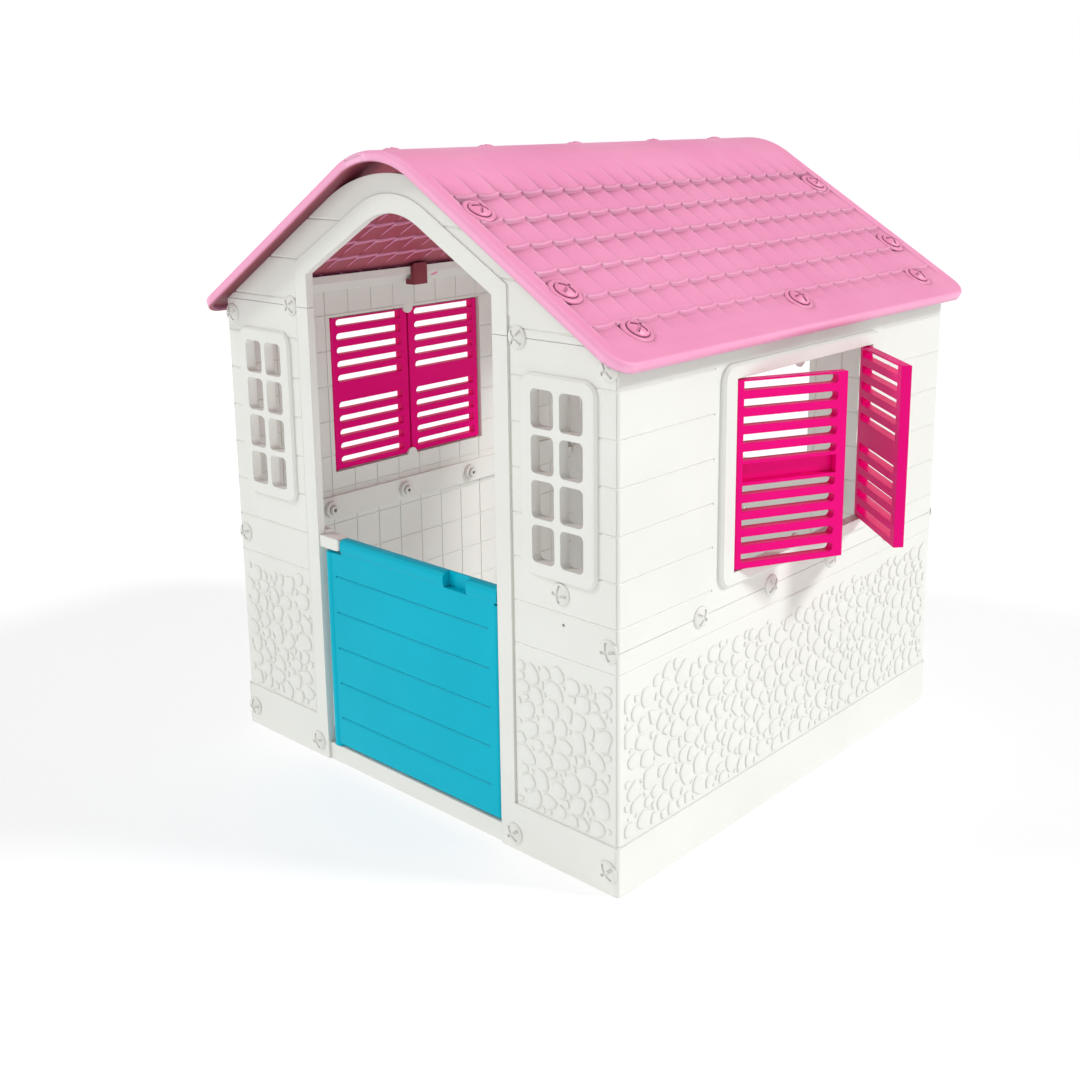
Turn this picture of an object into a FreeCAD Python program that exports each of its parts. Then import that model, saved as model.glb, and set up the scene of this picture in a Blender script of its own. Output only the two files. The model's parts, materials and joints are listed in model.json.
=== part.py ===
import FreeCAD, Part
import math
import os

from FreeCAD import Rotation, Vector

os.makedirs("parts", exist_ok=True)

# A child's plastic playhouse that bolts together from moulded panels. Millimetres, +Z up,
# +Y from the front doorway towards the back wall, +X to the right seen from the front.
# The origin is the middle of the doorway threshold's underside, on the floor.

# ---- driving dimensions -------------------------------------------------------------
HOUSE_W = 876.0            # outside of the plinth, left to right
HOUSE_D = 900.0            # outside of the plinth, front to back
WALL_T = 14.0              # depth of a wall panel at its plinth
FIELD_SET = 2.5            # the boards lie this far behind the plinth's face
PLINTH_H = 76.0
THRESHOLD_DEPTH = 36.0
THRESHOLD_H = 30.0
THRESHOLD_SET = 4.0        # threshold's front behind the plinth's face
SEAM_H = 366.0             # side walls: joint of lower and upper panel
GABLE_SEAM_H = 783.0       # end walls: joint of side panels and gable panel
BOARD_FOOT = 333.0         # lowest board joint; stonework lies between it and the plinth
BOARD_PITCH = 66.0
BOARDS = 10
BOARDS_INSIDE = 3          # more joints below the lowest one, on the inner skins only
GROOVE_W = 4.2             # mouth of the V-shaped joints between boards
GROOVE_DEPTH = 1.9
GROOVE_MOUTH = 1.0         # how far the cutting shape starts outside the face
JAMB_SLOT_W = 3.6          # upright slot between a jamb band and the boards
JAMB_SLOT_DEPTH = 2.4
JAMB_SLOT_RISE = 26.0      # its round top, over the gable's seam
GROOVE_STOP = 13.0         # side walls: the grooves stop this far from the window's frame
SEAM_GAP = 0.6             # visible joint between two panels
INNER_GROOVE_W = 2.0       # the inner skins are ruled into blocks
INNER_GROOVE_DEPTH = 1.2
INNER_GROOVE_PITCH = 55.0
INNER_GROOVE_END = 70.0    # first upright groove, from a wall's end
PILOT_HOLE_R = 2.5         # small moulded hole under the right-hand pane window
PILOT_HOLE_X = 336.0
PILOT_HOLE_Z = 383.0

ROOF_PITCH = math.radians(32.0)
RIDGE_TOP = 1034.0
RIDGE_R = 161.0            # outside radius of the rounded ridge
ROOF_T = 10.0              # depth of the tiled sheet, tiles included
ROOF_RIM = 16.0            # depth of the rim all round
ROOF_RIM_W = 7.0
ROOF_HALF_W = 470.0
ROOF_OVERHANG = 32.0       # past the front and back plinth
ROOF_CORNER_R = 38.0
LAP_OUTER_DEG = 22.0       # ridge lap, measured from the top of the ridge to the left
LAP_INNER_DEG = 8.0
LAP_CLEAR_DEG = 0.15
LAP_DEPTH = ROOF_T / 2
LAP_GAP = 0.2

DOORWAY_HALF_W = 208.5
DOORWAY_SHOULDER_H = 838.0
DOORWAY_ARCH_R = 117.0
DOORWAY_ARCH_SLOPE = math.radians(30.5)
JAMB_BAND_W = 29.0
BACK_OPENING_HALF_W = 178.0
BACK_SILL_H = 401.0
SIDE_FLANGE_W = 44.0       # side walls turn in behind the end walls
FLANGE_T = 13.0
GABLE_TOP_R = 280.0
LEDGE_W = 18.0             # ledge under the roof that its bolts go into
LEDGE_T = 12.0
LEDGE_END_GAP = 6.0        # between an end wall's ledge and a side wall's flange
CORNER_T = 6.0             # side walls are this thin where they lap over the end walls
HOUSE_CORNER_R = 5.0
SEAM_STRIP_T = 8.0
SEAM_STRIP_HALF_H = 22.0
SEAM_STRIP_END = 16.0      # the strip stops this far from the inside of the end walls
GABLE_TAB_HALF_W = 30.0    # tabs behind the gable's seam bolts
GABLE_TAB_HALF_H = 24.0
TONGUE_RISE = 16.0         # height of the foot tongues above the threshold
SILL_TONGUE_H = 60.0
SILL_LIP_T = 8.0           # the half wall's sill turns in by this much
SILL_LIP_H = 16.0
TONGUE_X = 260.0           # reach of the tongues behind the end walls' panels
LETTER_SLOT_X = 50.0
LETTER_SLOT_Z = 293.0
LETTER_SLOT_W = 46.0
LETTER_SLOT_H = 14.0

PANE_WINDOW_X = 331.0
PANE_WINDOW_Z = 592.0
PANE_FRAME_W = 140.0
PANE_FRAME_H = 292.0
PANE_W = 42.0
PANE_H = 55.0
PANE_PITCH_X = 53.0
PANE_PITCH_Z = 64.6
PANE_ROWS = 4
PANE_COLUMNS = 2
PANE_FRAME_PROUD = 6.0
PANE_FRAME_R = 22.0
PANE_FRAME_SLIM = 3.5      # chamfer round the frame's face
PANE_R = 8.0

WINDOW_W = 385.0           # shuttered opening in a side wall
WINDOW_H = 292.0
WINDOW_SILL = 417.0
WINDOW_MID_Y = 453.0       # behind the front plinth's face
LEFT_WINDOW_SHIFT_Y = -48.0
LEFT_WINDOW_SHIFT_Z = 14.0
WINDOW_FRAME_SIDE = 30.0
WINDOW_FRAME_END = 22.0
WINDOW_FRAME_PROUD = 8.0
WINDOW_FRAME_R = 24.0
WINDOW_FRAME_SLIM = 4.0
FRAME_ROOT = 4.0           # raised frames start this deep in their wall
STOP_TAB_R = 12.0
STOP_TAB_T = 3.5

SHUTTER_W = 189.0
SHUTTER_H = 286.0
SHUTTER_T = 16.0
SHUTTER_STILE = 16.0
SHUTTER_SLOT_H = 13.6
SHUTTER_SLOT_PITCH = 26.1
SHUTTER_SLOTS = 5          # above and below the middle band
SHUTTER_TOP_RAIL = 2.7
SHUTTER_LOW_RAIL = 9.5
SHUTTER_SKIN = 4.0         # what is left behind the middle band's hollow
SHUTTER_BAND_LIP = 5.0     # rim above and below that hollow
SHUTTER_GAP = 1.5          # between a shutter's hinge edge and the opening
SHUTTER_PIN_R = 4.0
SHUTTER_PIN_LEN = 8.0
RIGHT_FRONT_OPEN_DEG = 27.0
RIGHT_BACK_OPEN_DEG = 49.0
RUN_CLEAR = 0.08           # radial clearance of a hinge pin

DOOR_T = 24.0
DOOR_TOP = 405.0
DOOR_BOTTOM = 36.0
DOOR_RIGHT = 204.0
DOOR_PIN_X = -188.0
DOOR_PIN_R = 6.0
DOOR_PIN_FOOT = 18.0       # lower end of the pins, in the threshold
DOOR_PIN_RISE = 14.0       # upper pin above the hinge stile
DOOR_SOCKET_FOOT = 14.0
DOOR_THIN = 2.0            # the boards lie this far inside the top bead's faces
DOOR_EDGE_R = 6.0
DOOR_BEAD_R = 9.0
DOOR_LIFT = 0.5            # hinge stile above the threshold
DOOR_STILE_TOP = 378.0     # the hinge stile stops below the upper bracket
DOOR_STILE_END = -156.0
DOOR_BEAD_H = 26.0
DOOR_HANDLE_X = 115.0
DOOR_HANDLE_W = 50.0
DOOR_HANDLE_H = 24.0
DOOR_HANDLE_BACK = 2.0     # the notch ends this far behind the door's middle
BRACKET_H = 20.0
BRACKET_END = -161.0
BRACKET_GAP = 6.0          # above the hinge stile
BRACKET_R = 4.0
BRACKET_FOOT_W = 28.0      # reach of its foot behind the left panel
BRACKET_FOOT_RISE = 6.0
BRACKET_SOCKET = 15.0
CLIP_ARM_T = 9.0
CLIP_REACH = 14.0
CLIP_HOOK_H = 10.0
CLIP_GAP = 2.0
CLIP_HALF_W = 17.0
DOOR_GROOVE_FOOT = 85.0    # lowest of the door's board joints
DOOR_GROOVE_PITCH = 63.2
DOOR_GROOVES = 5
DOOR_GROOVE_LEFT = -172.0
DOOR_GROOVE_RIGHT = 184.0

BOLT_HEAD_R = 17.0
BOLT_HEAD_H = 7.0
BOLT_SHANK_R = 7.5
BOLT_HOLE_R = 8.0
BOLT_SLOT = 2.4
BOLT_SLOT_DEPTH = 3.0
NUT_R = 15.0
NUT_T = 8.0
BOLT_EDGE = 1.5            # height of a head's cylindrical edge under its dome
FAR = 100.0                # long enough to cut right through a wall or past its end

# ---- derived places -----------------------------------------------------------------
Y_FRONT = -(THRESHOLD_SET + THRESHOLD_DEPTH / 2)
Y_BACK = Y_FRONT + HOUSE_D
X_SIDE = HOUSE_W / 2
RIDGE_APEX = RIDGE_TOP + RIDGE_R * (1 / math.cos(ROOF_PITCH) - 1)
RIDGE_CENTRE_Z = RIDGE_TOP - RIDGE_R
DOOR_MID_Y = Y_FRONT + THRESHOLD_SET + DOOR_T / 2 - DOOR_THIN
FIT = 0.3                  # gap between parts that lie against each other


def save(name, solids):
    """Write one sub-part, a single solid or a group of separate solids."""
    shape = solids if not isinstance(solids, list) else Part.makeCompound(solids)
    shape.exportStep("parts/" + name + ".step")


def block(x0, x1, y0, y1, z0, z1):
    return Part.makeBox(x1 - x0, y1 - y0, z1 - z0, Vector(x0, y0, z0))


def rod(radius, start, direction, length):
    return Part.makeCylinder(radius, length, Vector(*start), Vector(*direction))


def xz_face(points):
    """A face in the XZ plane from straight edges and (middle, end) arcs."""
    edges = []
    here = Vector(points[0][0], 0, points[0][1])
    for item in points[1:]:
        if len(item) == 4:
            middle = Vector(item[0], 0, item[1])
            there = Vector(item[2], 0, item[3])
            edges.append(Part.Arc(here, middle, there).toShape())
        else:
            there = Vector(item[0], 0, item[1])
            edges.append(Part.LineSegment(here, there).toShape())
        here = there
    return Part.Face(Part.Wire(edges))


def prism_y(points, y0, y1):
    face = xz_face(points)
    face.translate(Vector(0, y0, 0))
    return face.extrude(Vector(0, y1 - y0, 0))


def rounded_plate(width, height, depth, radius, slim=0.0):
    """A plate with round corners, centred on Z, its back on the XZ plane, facing -Y."""
    plate = Part.makeBox(width, depth, height, Vector(-width / 2, -depth, -height / 2))
    upright = [e for e in plate.Edges if is_corner(e)]
    plate = plate.makeFillet(radius, upright)
    if slim:
        front = [e for e in plate.Edges if all(abs(v.Y + depth) < 0.01 for v in e.Vertexes)]
        plate = plate.makeChamfer(slim, front)
    return plate


def is_corner(edge):
    """True for the four edges of a plate that run through its depth, along Y."""
    ends = [v.Point for v in edge.Vertexes]
    return abs(ends[0].x - ends[1].x) < 0.01 and abs(ends[0].z - ends[1].z) < 0.01


# ---- the roof's lines ----------------------------------------------------------------
def roof_line(depth, x):
    """Height of the roof's surface at a distance from the ridge line, this deep in it."""
    return RIDGE_APEX - depth / math.cos(ROOF_PITCH) - abs(x) * math.tan(ROOF_PITCH)


def ridge_point(depth, degrees):
    """A point on the rounded ridge, measured from its top, positive to the right."""
    radius = RIDGE_R - depth
    turn = math.radians(degrees)
    return (radius * math.sin(turn), RIDGE_CENTRE_Z + radius * math.cos(turn))


def ridge_arc(depth, start, end):
    middle = ridge_point(depth, (start + end) / 2)
    return middle + ridge_point(depth, end)


def roof_section(top, bottom, half_width, start, end):
    """Outline of the right-hand roof between two depths, from an angle on the ridge."""
    pitch = math.degrees(ROOF_PITCH)
    outline = [ridge_point(top, start), ridge_arc(top, start, pitch)]
    outline.append((half_width, roof_line(top, half_width)))
    outline.append((half_width, roof_line(bottom, half_width)))
    outline.append(ridge_point(bottom, pitch))
    outline.append(ridge_arc(bottom, pitch, end))
    outline.append(ridge_point(top, start))
    return outline


def roof_blank(start):
    """Right-hand roof panel with its rim, cut off on the ridge at the given angle."""
    y0 = Y_FRONT - ROOF_OVERHANG
    y1 = Y_BACK + ROOF_OVERHANG
    blank = prism_y(roof_section(0, ROOF_RIM, ROOF_HALF_W, start, start), y0, y1)
    hollow = prism_y(
        roof_section(ROOF_T, 2 * ROOF_RIM, ROOF_HALF_W - ROOF_RIM_W, -80, -80),
        y0 + ROOF_RIM_W, y1 - ROOF_RIM_W)
    return blank.cut(hollow).common(roof_plan(y0, y1))


def roof_plan(y0, y1):
    """Upright prism that gives the roof its round corners at the eaves."""
    plan = block(-ROOF_HALF_W, ROOF_HALF_W, y0, y1, 0, RIDGE_TOP + FAR)
    upright = [e for e in plan.Edges if abs(e.Vertexes[0].Z - e.Vertexes[1].Z) > 1]
    return plan.makeFillet(ROOF_CORNER_R, upright)


def lap_ring(outer, start, end):
    """Part of a ring about the ridge's centre line, from a depth inwards, by angles."""
    inner = 3 * ROOF_RIM
    points = [ridge_point(outer, start), ridge_arc(outer, start, end)]
    points.append(ridge_point(inner, end))
    points.append(ridge_arc(inner, end, start))
    points.append(ridge_point(outer, start))
    return prism_y(points, Y_FRONT - FAR, Y_BACK + FAR)


def lap_cap(start, end, depth):
    """The same, but everything outside a depth."""
    points = [ridge_point(-ROOF_T, start), ridge_arc(-ROOF_T, start, end)]
    points.append(ridge_point(depth, end))
    points.append(ridge_arc(depth, end, start))
    points.append(ridge_point(-ROOF_T, start))
    return prism_y(points, Y_FRONT - FAR, Y_BACK + FAR)


def mirror_x(shape):
    return shape.mirror(Vector(0, 0, 0), Vector(1, 0, 0))


def roof_right():
    """Right slope, the ridge, and the upper half of the lap over the left panel."""
    blank = roof_blank(-LAP_OUTER_DEG)
    under_lap = lap_ring(LAP_DEPTH, -2 * LAP_OUTER_DEG, -LAP_INNER_DEG)
    return with_holes(blank.cut(under_lap), roof_places(1) + ridge_places())


def roof_left():
    """Left slope and the lower half of the lap."""
    blank = mirror_x(roof_blank(LAP_INNER_DEG + LAP_CLEAR_DEG))
    over_lap = lap_cap(-LAP_OUTER_DEG - LAP_CLEAR_DEG, LAP_INNER_DEG, LAP_DEPTH + LAP_GAP)
    return with_holes(blank.cut(over_lap), roof_places(-1) + ridge_places())


# ---- bolts ---------------------------------------------------------------------------
# A bolt's place is where its head meets the panel, the way it points, and its grip: the
# thickness of what it holds together.
CORNER_X = X_SIDE - 19.0
CORNER_HEIGHTS = (35.0, SEAM_H, 757.0)
THRESHOLD_BOLT_X = 235.0
THRESHOLD_BOLT_Z = 26.0
GABLE_BOLT_X = 255.0
WINDOW_BOLT_Z = 428.0
SEAM_BOLT_Y = (190.0, 374.0, 551.0, 735.0)
RIDGE_BOLT_Y = (40.0, 240.0, 455.0, 672.0, 862.0)
RIDGE_BOLT_DEG = -15.0
ROOF_BOLT_X = (176.0, 336.0)
EAVE_BOLT_X = 417.0
EAVE_BOLT_Y = (65.0, 459.0, 838.0)
ROOF_BOLT_INSET = 13.0


def end_wall_places(y, way):
    """Bolts through the front or back wall; way is the direction they point, 1 or -1."""
    places = []
    for side in (-1, 1):
        for height in CORNER_HEIGHTS:
            face = 0.0 if height < PLINTH_H else FIELD_SET
            grip = WALL_T - face + FLANGE_T
            places.append(((side * CORNER_X, y + way * face, height), (0, way, 0), grip))
        low = (side * THRESHOLD_BOLT_X, y, THRESHOLD_BOLT_Z)
        places.append((low, (0, way, 0), WALL_T + FLANGE_T))
        high = (side * GABLE_BOLT_X, y + way * FIELD_SET, GABLE_SEAM_H)
        places.append((high, (0, way, 0), WALL_T - FIELD_SET + FLANGE_T))
    return places


def front_places():
    beside = (PANE_WINDOW_X, Y_FRONT + FIELD_SET, WINDOW_BOLT_Z)
    return end_wall_places(Y_FRONT, 1) + [(beside, (0, 1, 0), WALL_T - FIELD_SET)]


def back_places():
    return end_wall_places(Y_BACK, -1)


def seam_places(side):
    x = side * (X_SIDE - FIELD_SET)
    grip = WALL_T - FIELD_SET + SEAM_STRIP_T
    return [((x, Y_FRONT + y, SEAM_H), (-side, 0, 0), grip) for y in SEAM_BOLT_Y]


def roof_places(side):
    """Bolts on one slope: into both gables near the rake, and into the side wall."""
    spots = [(x, y) for x in ROOF_BOLT_X for y in (ROOF_BOLT_INSET, HOUSE_D - ROOF_BOLT_INSET)]
    spots += [(EAVE_BOLT_X, y) for y in EAVE_BOLT_Y]
    inward = (-side * math.sin(ROOF_PITCH), 0, -math.cos(ROOF_PITCH))
    return [((side * x, Y_FRONT + y, roof_line(0, x)), inward, ROOF_T + LEDGE_T)
            for x, y in spots]


def ridge_places():
    x, z = ridge_point(0, RIDGE_BOLT_DEG)
    turn = math.radians(RIDGE_BOLT_DEG)
    inward = (-math.sin(turn), 0, -math.cos(turn))
    return [((x, Y_FRONT + y, z), inward, ROOF_T) for y in RIDGE_BOLT_Y]


def bolt(place, past_grip):
    """Domed plastic bolt with a cross slot in its head."""
    rise = BOLT_HEAD_H - BOLT_EDGE
    ball = (BOLT_HEAD_R ** 2 + rise ** 2) / (2 * rise)
    head = Part.makeCylinder(BOLT_HEAD_R, BOLT_HEAD_H, Vector(0, 0, -BOLT_HEAD_H))
    dome = Part.makeSphere(ball, Vector(0, 0, ball - BOLT_HEAD_H))
    head = head.common(dome)
    for turn in (45, 135):
        corner = Vector(-BOLT_HEAD_R, -BOLT_SLOT / 2, -BOLT_HEAD_H - 1)
        slot = Part.makeBox(2 * BOLT_HEAD_R, BOLT_SLOT, BOLT_SLOT_DEPTH + 1, corner)
        slot.rotate(Vector(0, 0, 0), Vector(0, 0, 1), turn)
        head = head.cut(slot)
    shank = Part.makeCylinder(BOLT_SHANK_R, place[2] + past_grip)
    return placed(head.fuse(shank), place)


def nut(place):
    """Round plastic nut on the far side of what its bolt holds."""
    base = Vector(0, 0, place[2])
    ring = Part.makeCylinder(NUT_R, NUT_T, base)
    return placed(ring.cut(Part.makeCylinder(BOLT_HOLE_R, NUT_T, base)), place)


def placed(shape, place):
    """Turn a piece made along +Z to point a place's way, and move it there."""
    turn = Rotation(Vector(0, 0, 1), Vector(*place[1]))
    shape.Placement = FreeCAD.Placement(Vector(*place[0]), turn)
    return shape


def with_holes(shape, places):
    """Cut the bolt holes that pass through a panel."""
    for position, way, grip in places:
        start = Vector(*position) - Vector(*way) * BOLT_HEAD_R
        reach = grip + 2 * BOLT_HEAD_R
        shape = shape.cut(Part.makeCylinder(BOLT_HOLE_R, reach, start, Vector(*way)))
    return shape


# ---- end walls (front and back) ------------------------------------------------------
# Each is made as a front wall, with its plinth's face on the XZ plane, then moved.
def doorway_outline(half_width, grow=0.0):
    """Doorway with a shoulder on each side and a rounded peak, or an outline around it."""
    slope = DOORWAY_ARCH_SLOPE
    half = half_width + grow
    shoulder = DOORWAY_SHOULDER_H + grow * (1 / math.cos(slope) - math.tan(slope))
    radius = DOORWAY_ARCH_R + grow
    centre = shoulder + half * math.tan(slope) - radius / math.cos(slope)
    reach = radius * math.sin(slope)
    rise = centre + radius * math.cos(slope)
    return [
        (-half, -1), (-half, shoulder), (-reach, rise),
        (0, centre + radius, reach, rise),
        (half, shoulder), (half, -1), (-half, -1)]


def gable_outline(half_width):
    """An end wall's outline: upright sides and slopes that carry the roof."""
    depth = ROOF_T + FIT
    reach = GABLE_TOP_R * math.sin(ROOF_PITCH)
    peak = roof_line(depth, 0) - GABLE_TOP_R * (1 / math.cos(ROOF_PITCH) - 1)
    shoulder = roof_line(depth, reach)
    eave = roof_line(depth, half_width)
    return [
        (-half_width, 0), (-half_width, eave), (-reach, shoulder),
        (0, peak, reach, shoulder),
        (half_width, eave), (half_width, 0), (-half_width, 0)]


def pane_frame(centre_x):
    """Raised frame of a pane window, standing proud of the boards."""
    depth = PANE_FRAME_PROUD + FRAME_ROOT
    frame = rounded_plate(PANE_FRAME_W, PANE_FRAME_H, depth, PANE_FRAME_R, PANE_FRAME_SLIM)
    frame.translate(Vector(centre_x, FIELD_SET + FRAME_ROOT, PANE_WINDOW_Z))
    return frame


def panes(centre_x):
    cuts = []
    for column in range(PANE_COLUMNS):
        for row in range(PANE_ROWS):
            pane = rounded_plate(PANE_W, PANE_H, FAR, PANE_R)
            x = centre_x + (column - (PANE_COLUMNS - 1) / 2) * PANE_PITCH_X
            z = PANE_WINDOW_Z + (row - (PANE_ROWS - 1) / 2) * PANE_PITCH_Z
            pane.translate(Vector(x, FAR / 2, z))
            cuts.append(pane)
    return Part.makeCompound(cuts)


def board_heights(first=0):
    return [BOARD_FOOT + k * BOARD_PITCH for k in range(first, BOARDS)]


def vee(z, start, end, face, bottom, along_y=False):
    """V-shaped joint at a height, from start to end, cut from its face to its bottom."""
    depth = abs(face - bottom)
    outside = face + math.copysign(GROOVE_MOUTH, face - bottom)
    half = GROOVE_W / 2 * (depth + GROOVE_MOUTH) / depth
    section = [(outside, z - half), (outside, z + half), (bottom, z), (outside, z - half)]
    if along_y:
        return extruded([Vector(d, start, h) for d, h in section], Vector(0, end - start, 0))
    return extruded([Vector(start, d, h) for d, h in section], Vector(end - start, 0, 0))


def extruded(points, way):
    return Part.Face(Part.makePolygon(points)).extrude(way)


def jamb_slots(half_width):
    """Upright slots along both jamb bands, from the plinth to over the gable's seam."""
    cuts = []
    for side in (-1, 1):
        x = side * (half_width + JAMB_BAND_W + JAMB_SLOT_W / 2)
        top = GABLE_SEAM_H + JAMB_SLOT_RISE
        reach = FIELD_SET + JAMB_SLOT_DEPTH + GROOVE_MOUTH
        cuts.append(block(x - JAMB_SLOT_W / 2, x + JAMB_SLOT_W / 2, -GROOVE_MOUTH,
                          reach - GROOVE_MOUTH, PLINTH_H, top))
        cuts.append(rod(JAMB_SLOT_W / 2, (x, -GROOVE_MOUTH, top), (0, 1, 0), reach))
    return cuts


def end_wall_grooves(half_width):
    """Joints between the boards of an end wall, clear of its jamb band and pane frames."""
    bottom = FIELD_SET + GROOVE_DEPTH
    cuts = []
    for z in board_heights():
        cuts.append(vee(z, -X_SIDE, X_SIDE, FIELD_SET, bottom))
    grooves = Part.makeCompound(cuts)
    grooves = grooves.cut(prism_y(doorway_outline(half_width, JAMB_BAND_W), -2, bottom + 1))
    for side in (-1, 1):
        plate = rounded_plate(PANE_FRAME_W, PANE_FRAME_H, bottom + 3, PANE_FRAME_R)
        plate.translate(Vector(side * PANE_WINDOW_X, bottom + 1, PANE_WINDOW_Z))
        grooves = grooves.cut(plate)
    return grooves


def inner_grooves(u0, u1, depth):
    """Rulings of an end wall's inner skin, level with the boards' joints and upright."""
    top = depth + 1
    bottom = depth - INNER_GROOVE_DEPTH
    half = INNER_GROOVE_W / 2
    cuts = [block(u0, u1, bottom, top, z - half, z + half) for z in board_heights(-BOARDS_INSIDE)]
    count = int((u1 - u0 - 2 * INNER_GROOVE_END) / INNER_GROOVE_PITCH) + 1
    for k in range(count):
        u = (u0 + u1) / 2 + (k - (count - 1) / 2) * INNER_GROOVE_PITCH
        cuts.append(block(u - half, u + half, bottom, top, 0, RIDGE_TOP))
    return Part.makeCompound(cuts)


def side_inner_grooves():
    """The same on a right-hand side wall."""
    rulings = inner_grooves(Y_FRONT + WALL_T, Y_BACK - WALL_T, 0)
    rulings.rotate(Vector(0, 0, 0), Vector(0, 0, 1), 90)
    rulings.translate(Vector(X_SIDE - WALL_T, 0, 0))
    return rulings


def side_wall_grooves(side):
    """The same for a right-hand side wall; they stop short of the window's frame."""
    y, z_mid = window_middle(side)
    face = X_SIDE - FIELD_SET
    half_w = WINDOW_W / 2 + WINDOW_FRAME_SIDE + GROOVE_STOP
    half_h = WINDOW_H / 2 + WINDOW_FRAME_END
    cuts = []
    for z in board_heights():
        cuts.append(vee(z, Y_FRONT - 1, Y_BACK + 1, face, face - GROOVE_DEPTH, along_y=True))
    window = block(face - FIELD_SET - GROOVE_DEPTH, X_SIDE + 2, y - half_w, y + half_w, z_mid - half_h, z_mid + half_h)
    return Part.makeCompound(cuts).cut(window)


def roof_ledge(y0, y1, x_limit):
    """Ledge along both slopes under the roof, which the roof's bolts are driven into."""
    outline = gable_outline(X_SIDE)
    below = prism_y(outline, y0 - 1, y1 + 1)
    below.translate(Vector(0, 0, -LEDGE_T / math.cos(ROOF_PITCH)))
    strip = prism_y(outline, y0, y1).cut(below)
    return strip.common(block(-x_limit, x_limit, y0, y1, 0, RIDGE_TOP))


def end_wall(half_width):
    """A whole end wall with its doorway and pane windows, before it is parted."""
    outside = X_SIDE - CORNER_T - FIT
    wall = prism_y(gable_outline(outside), FIELD_SET, WALL_T)
    raised = block(-outside, outside, 0, FIELD_SET, 0, PLINTH_H)
    band = prism_y(doorway_outline(half_width, JAMB_BAND_W), 0, FIELD_SET)
    wall = wall.fuse(raised.fuse(band.common(block(-X_SIDE, X_SIDE, 0, FIELD_SET, 0, RIDGE_TOP))))
    ledge_end = X_SIDE - SIDE_FLANGE_W - LEDGE_END_GAP
    wall = wall.fuse(roof_ledge(WALL_T, WALL_T + LEDGE_W, ledge_end))
    wall = wall.cut(prism_y(doorway_outline(half_width), -1, FAR))
    wall = wall.cut(inner_grooves(-outside, outside, WALL_T))
    wall = wall.cut(end_wall_grooves(half_width)).cut(jamb_slots(half_width))
    for side in (-1, 1):
        wall = wall.fuse(pane_frame(side * PANE_WINDOW_X))
        wall = wall.cut(panes(side * PANE_WINDOW_X))
    return wall


def end_wall_panels(half_width, places):
    """The left, right and gable panels of an end wall."""
    wall = end_wall(half_width)
    low = GABLE_SEAM_H - SEAM_GAP / 2
    high = GABLE_SEAM_H + SEAM_GAP / 2
    left = wall.common(block(-X_SIDE, 0, -FAR, FAR, 0, low))
    right = wall.common(block(0, X_SIDE, -FAR, FAR, 0, low))
    gable = wall.common(block(-X_SIDE, X_SIDE, -FAR, FAR, high, RIDGE_TOP + FAR))
    for side in (-1, 1):
        x = side * GABLE_BOLT_X
        gable = gable.fuse(block(x - GABLE_TAB_HALF_W, x + GABLE_TAB_HALF_W,
                                 WALL_T, WALL_T + FLANGE_T,
                                 GABLE_SEAM_H - GABLE_TAB_HALF_H, GABLE_SEAM_H + GABLE_TAB_HALF_H))
    return [with_holes(piece, places) for piece in (left, right, gable)]


def as_front(shape):
    shape.translate(Vector(0, Y_FRONT, 0))
    return shape


def as_back(shape):
    shape.rotate(Vector(0, 0, 0), Vector(0, 0, 1), 180)
    shape.translate(Vector(0, Y_BACK, 0))
    return shape


def local_places(places, back=False):
    """Bolt places moved into the frame in which an end wall is made."""
    moved = []
    for (x, y, z), (a, b, c), grip in places:
        if back:
            moved.append(((-x, Y_BACK - y, z), (-a, -b, c), grip))
        else:
            moved.append(((x, y - Y_FRONT, z), (a, b, c), grip))
    return moved


def threshold():
    """Bar across the doorway, with a tongue behind each front panel and a pin socket."""
    reach = DOORWAY_HALF_W - FIT
    bar = block(-reach, reach, THRESHOLD_SET, THRESHOLD_SET + THRESHOLD_DEPTH, 0, THRESHOLD_H)
    tongue = block(-TONGUE_X, TONGUE_X, WALL_T, WALL_T + FLANGE_T, 0, THRESHOLD_H + TONGUE_RISE)
    between = block(-reach, reach, 0, FAR, THRESHOLD_H, FAR)
    bar = bar.fuse(tongue.cut(between))
    bar = with_holes(bar, local_places(front_places()))
    start = (DOOR_PIN_X, DOOR_MID_Y - Y_FRONT, DOOR_SOCKET_FOOT)
    return as_front(bar.cut(rod(DOOR_PIN_R + RUN_CLEAR, start, (0, 0, 1), THRESHOLD_H)))


def half_wall():
    """Board panel that closes the lower half of the back opening, with a letter slot."""
    reach = BACK_OPENING_HALF_W - FIT
    panel = block(-reach, reach, FIELD_SET, WALL_T, 0, BACK_SILL_H)
    panel = panel.fuse(block(-reach, reach, 0, FIELD_SET, 0, PLINTH_H))
    lip_foot = BACK_SILL_H - SILL_LIP_H
    panel = panel.fuse(block(-reach, reach, 0, WALL_T + SILL_LIP_T, lip_foot, BACK_SILL_H))
    for z0, z1 in ((0, THRESHOLD_H + TONGUE_RISE), (BACK_SILL_H - SILL_TONGUE_H, BACK_SILL_H)):
        panel = panel.fuse(block(-TONGUE_X, TONGUE_X, WALL_T, WALL_T + FLANGE_T, z0, z1))
    panel = panel.cut(vee(BOARD_FOOT, -reach, reach, FIELD_SET, FIELD_SET + GROOVE_DEPTH))
    slot = rounded_plate(LETTER_SLOT_W, LETTER_SLOT_H, FAR, 0.49 * LETTER_SLOT_H)
    slot.translate(Vector(-LETTER_SLOT_X, FAR / 2, LETTER_SLOT_Z))
    return as_back(with_holes(panel.cut(slot), local_places(back_places(), back=True)))


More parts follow.
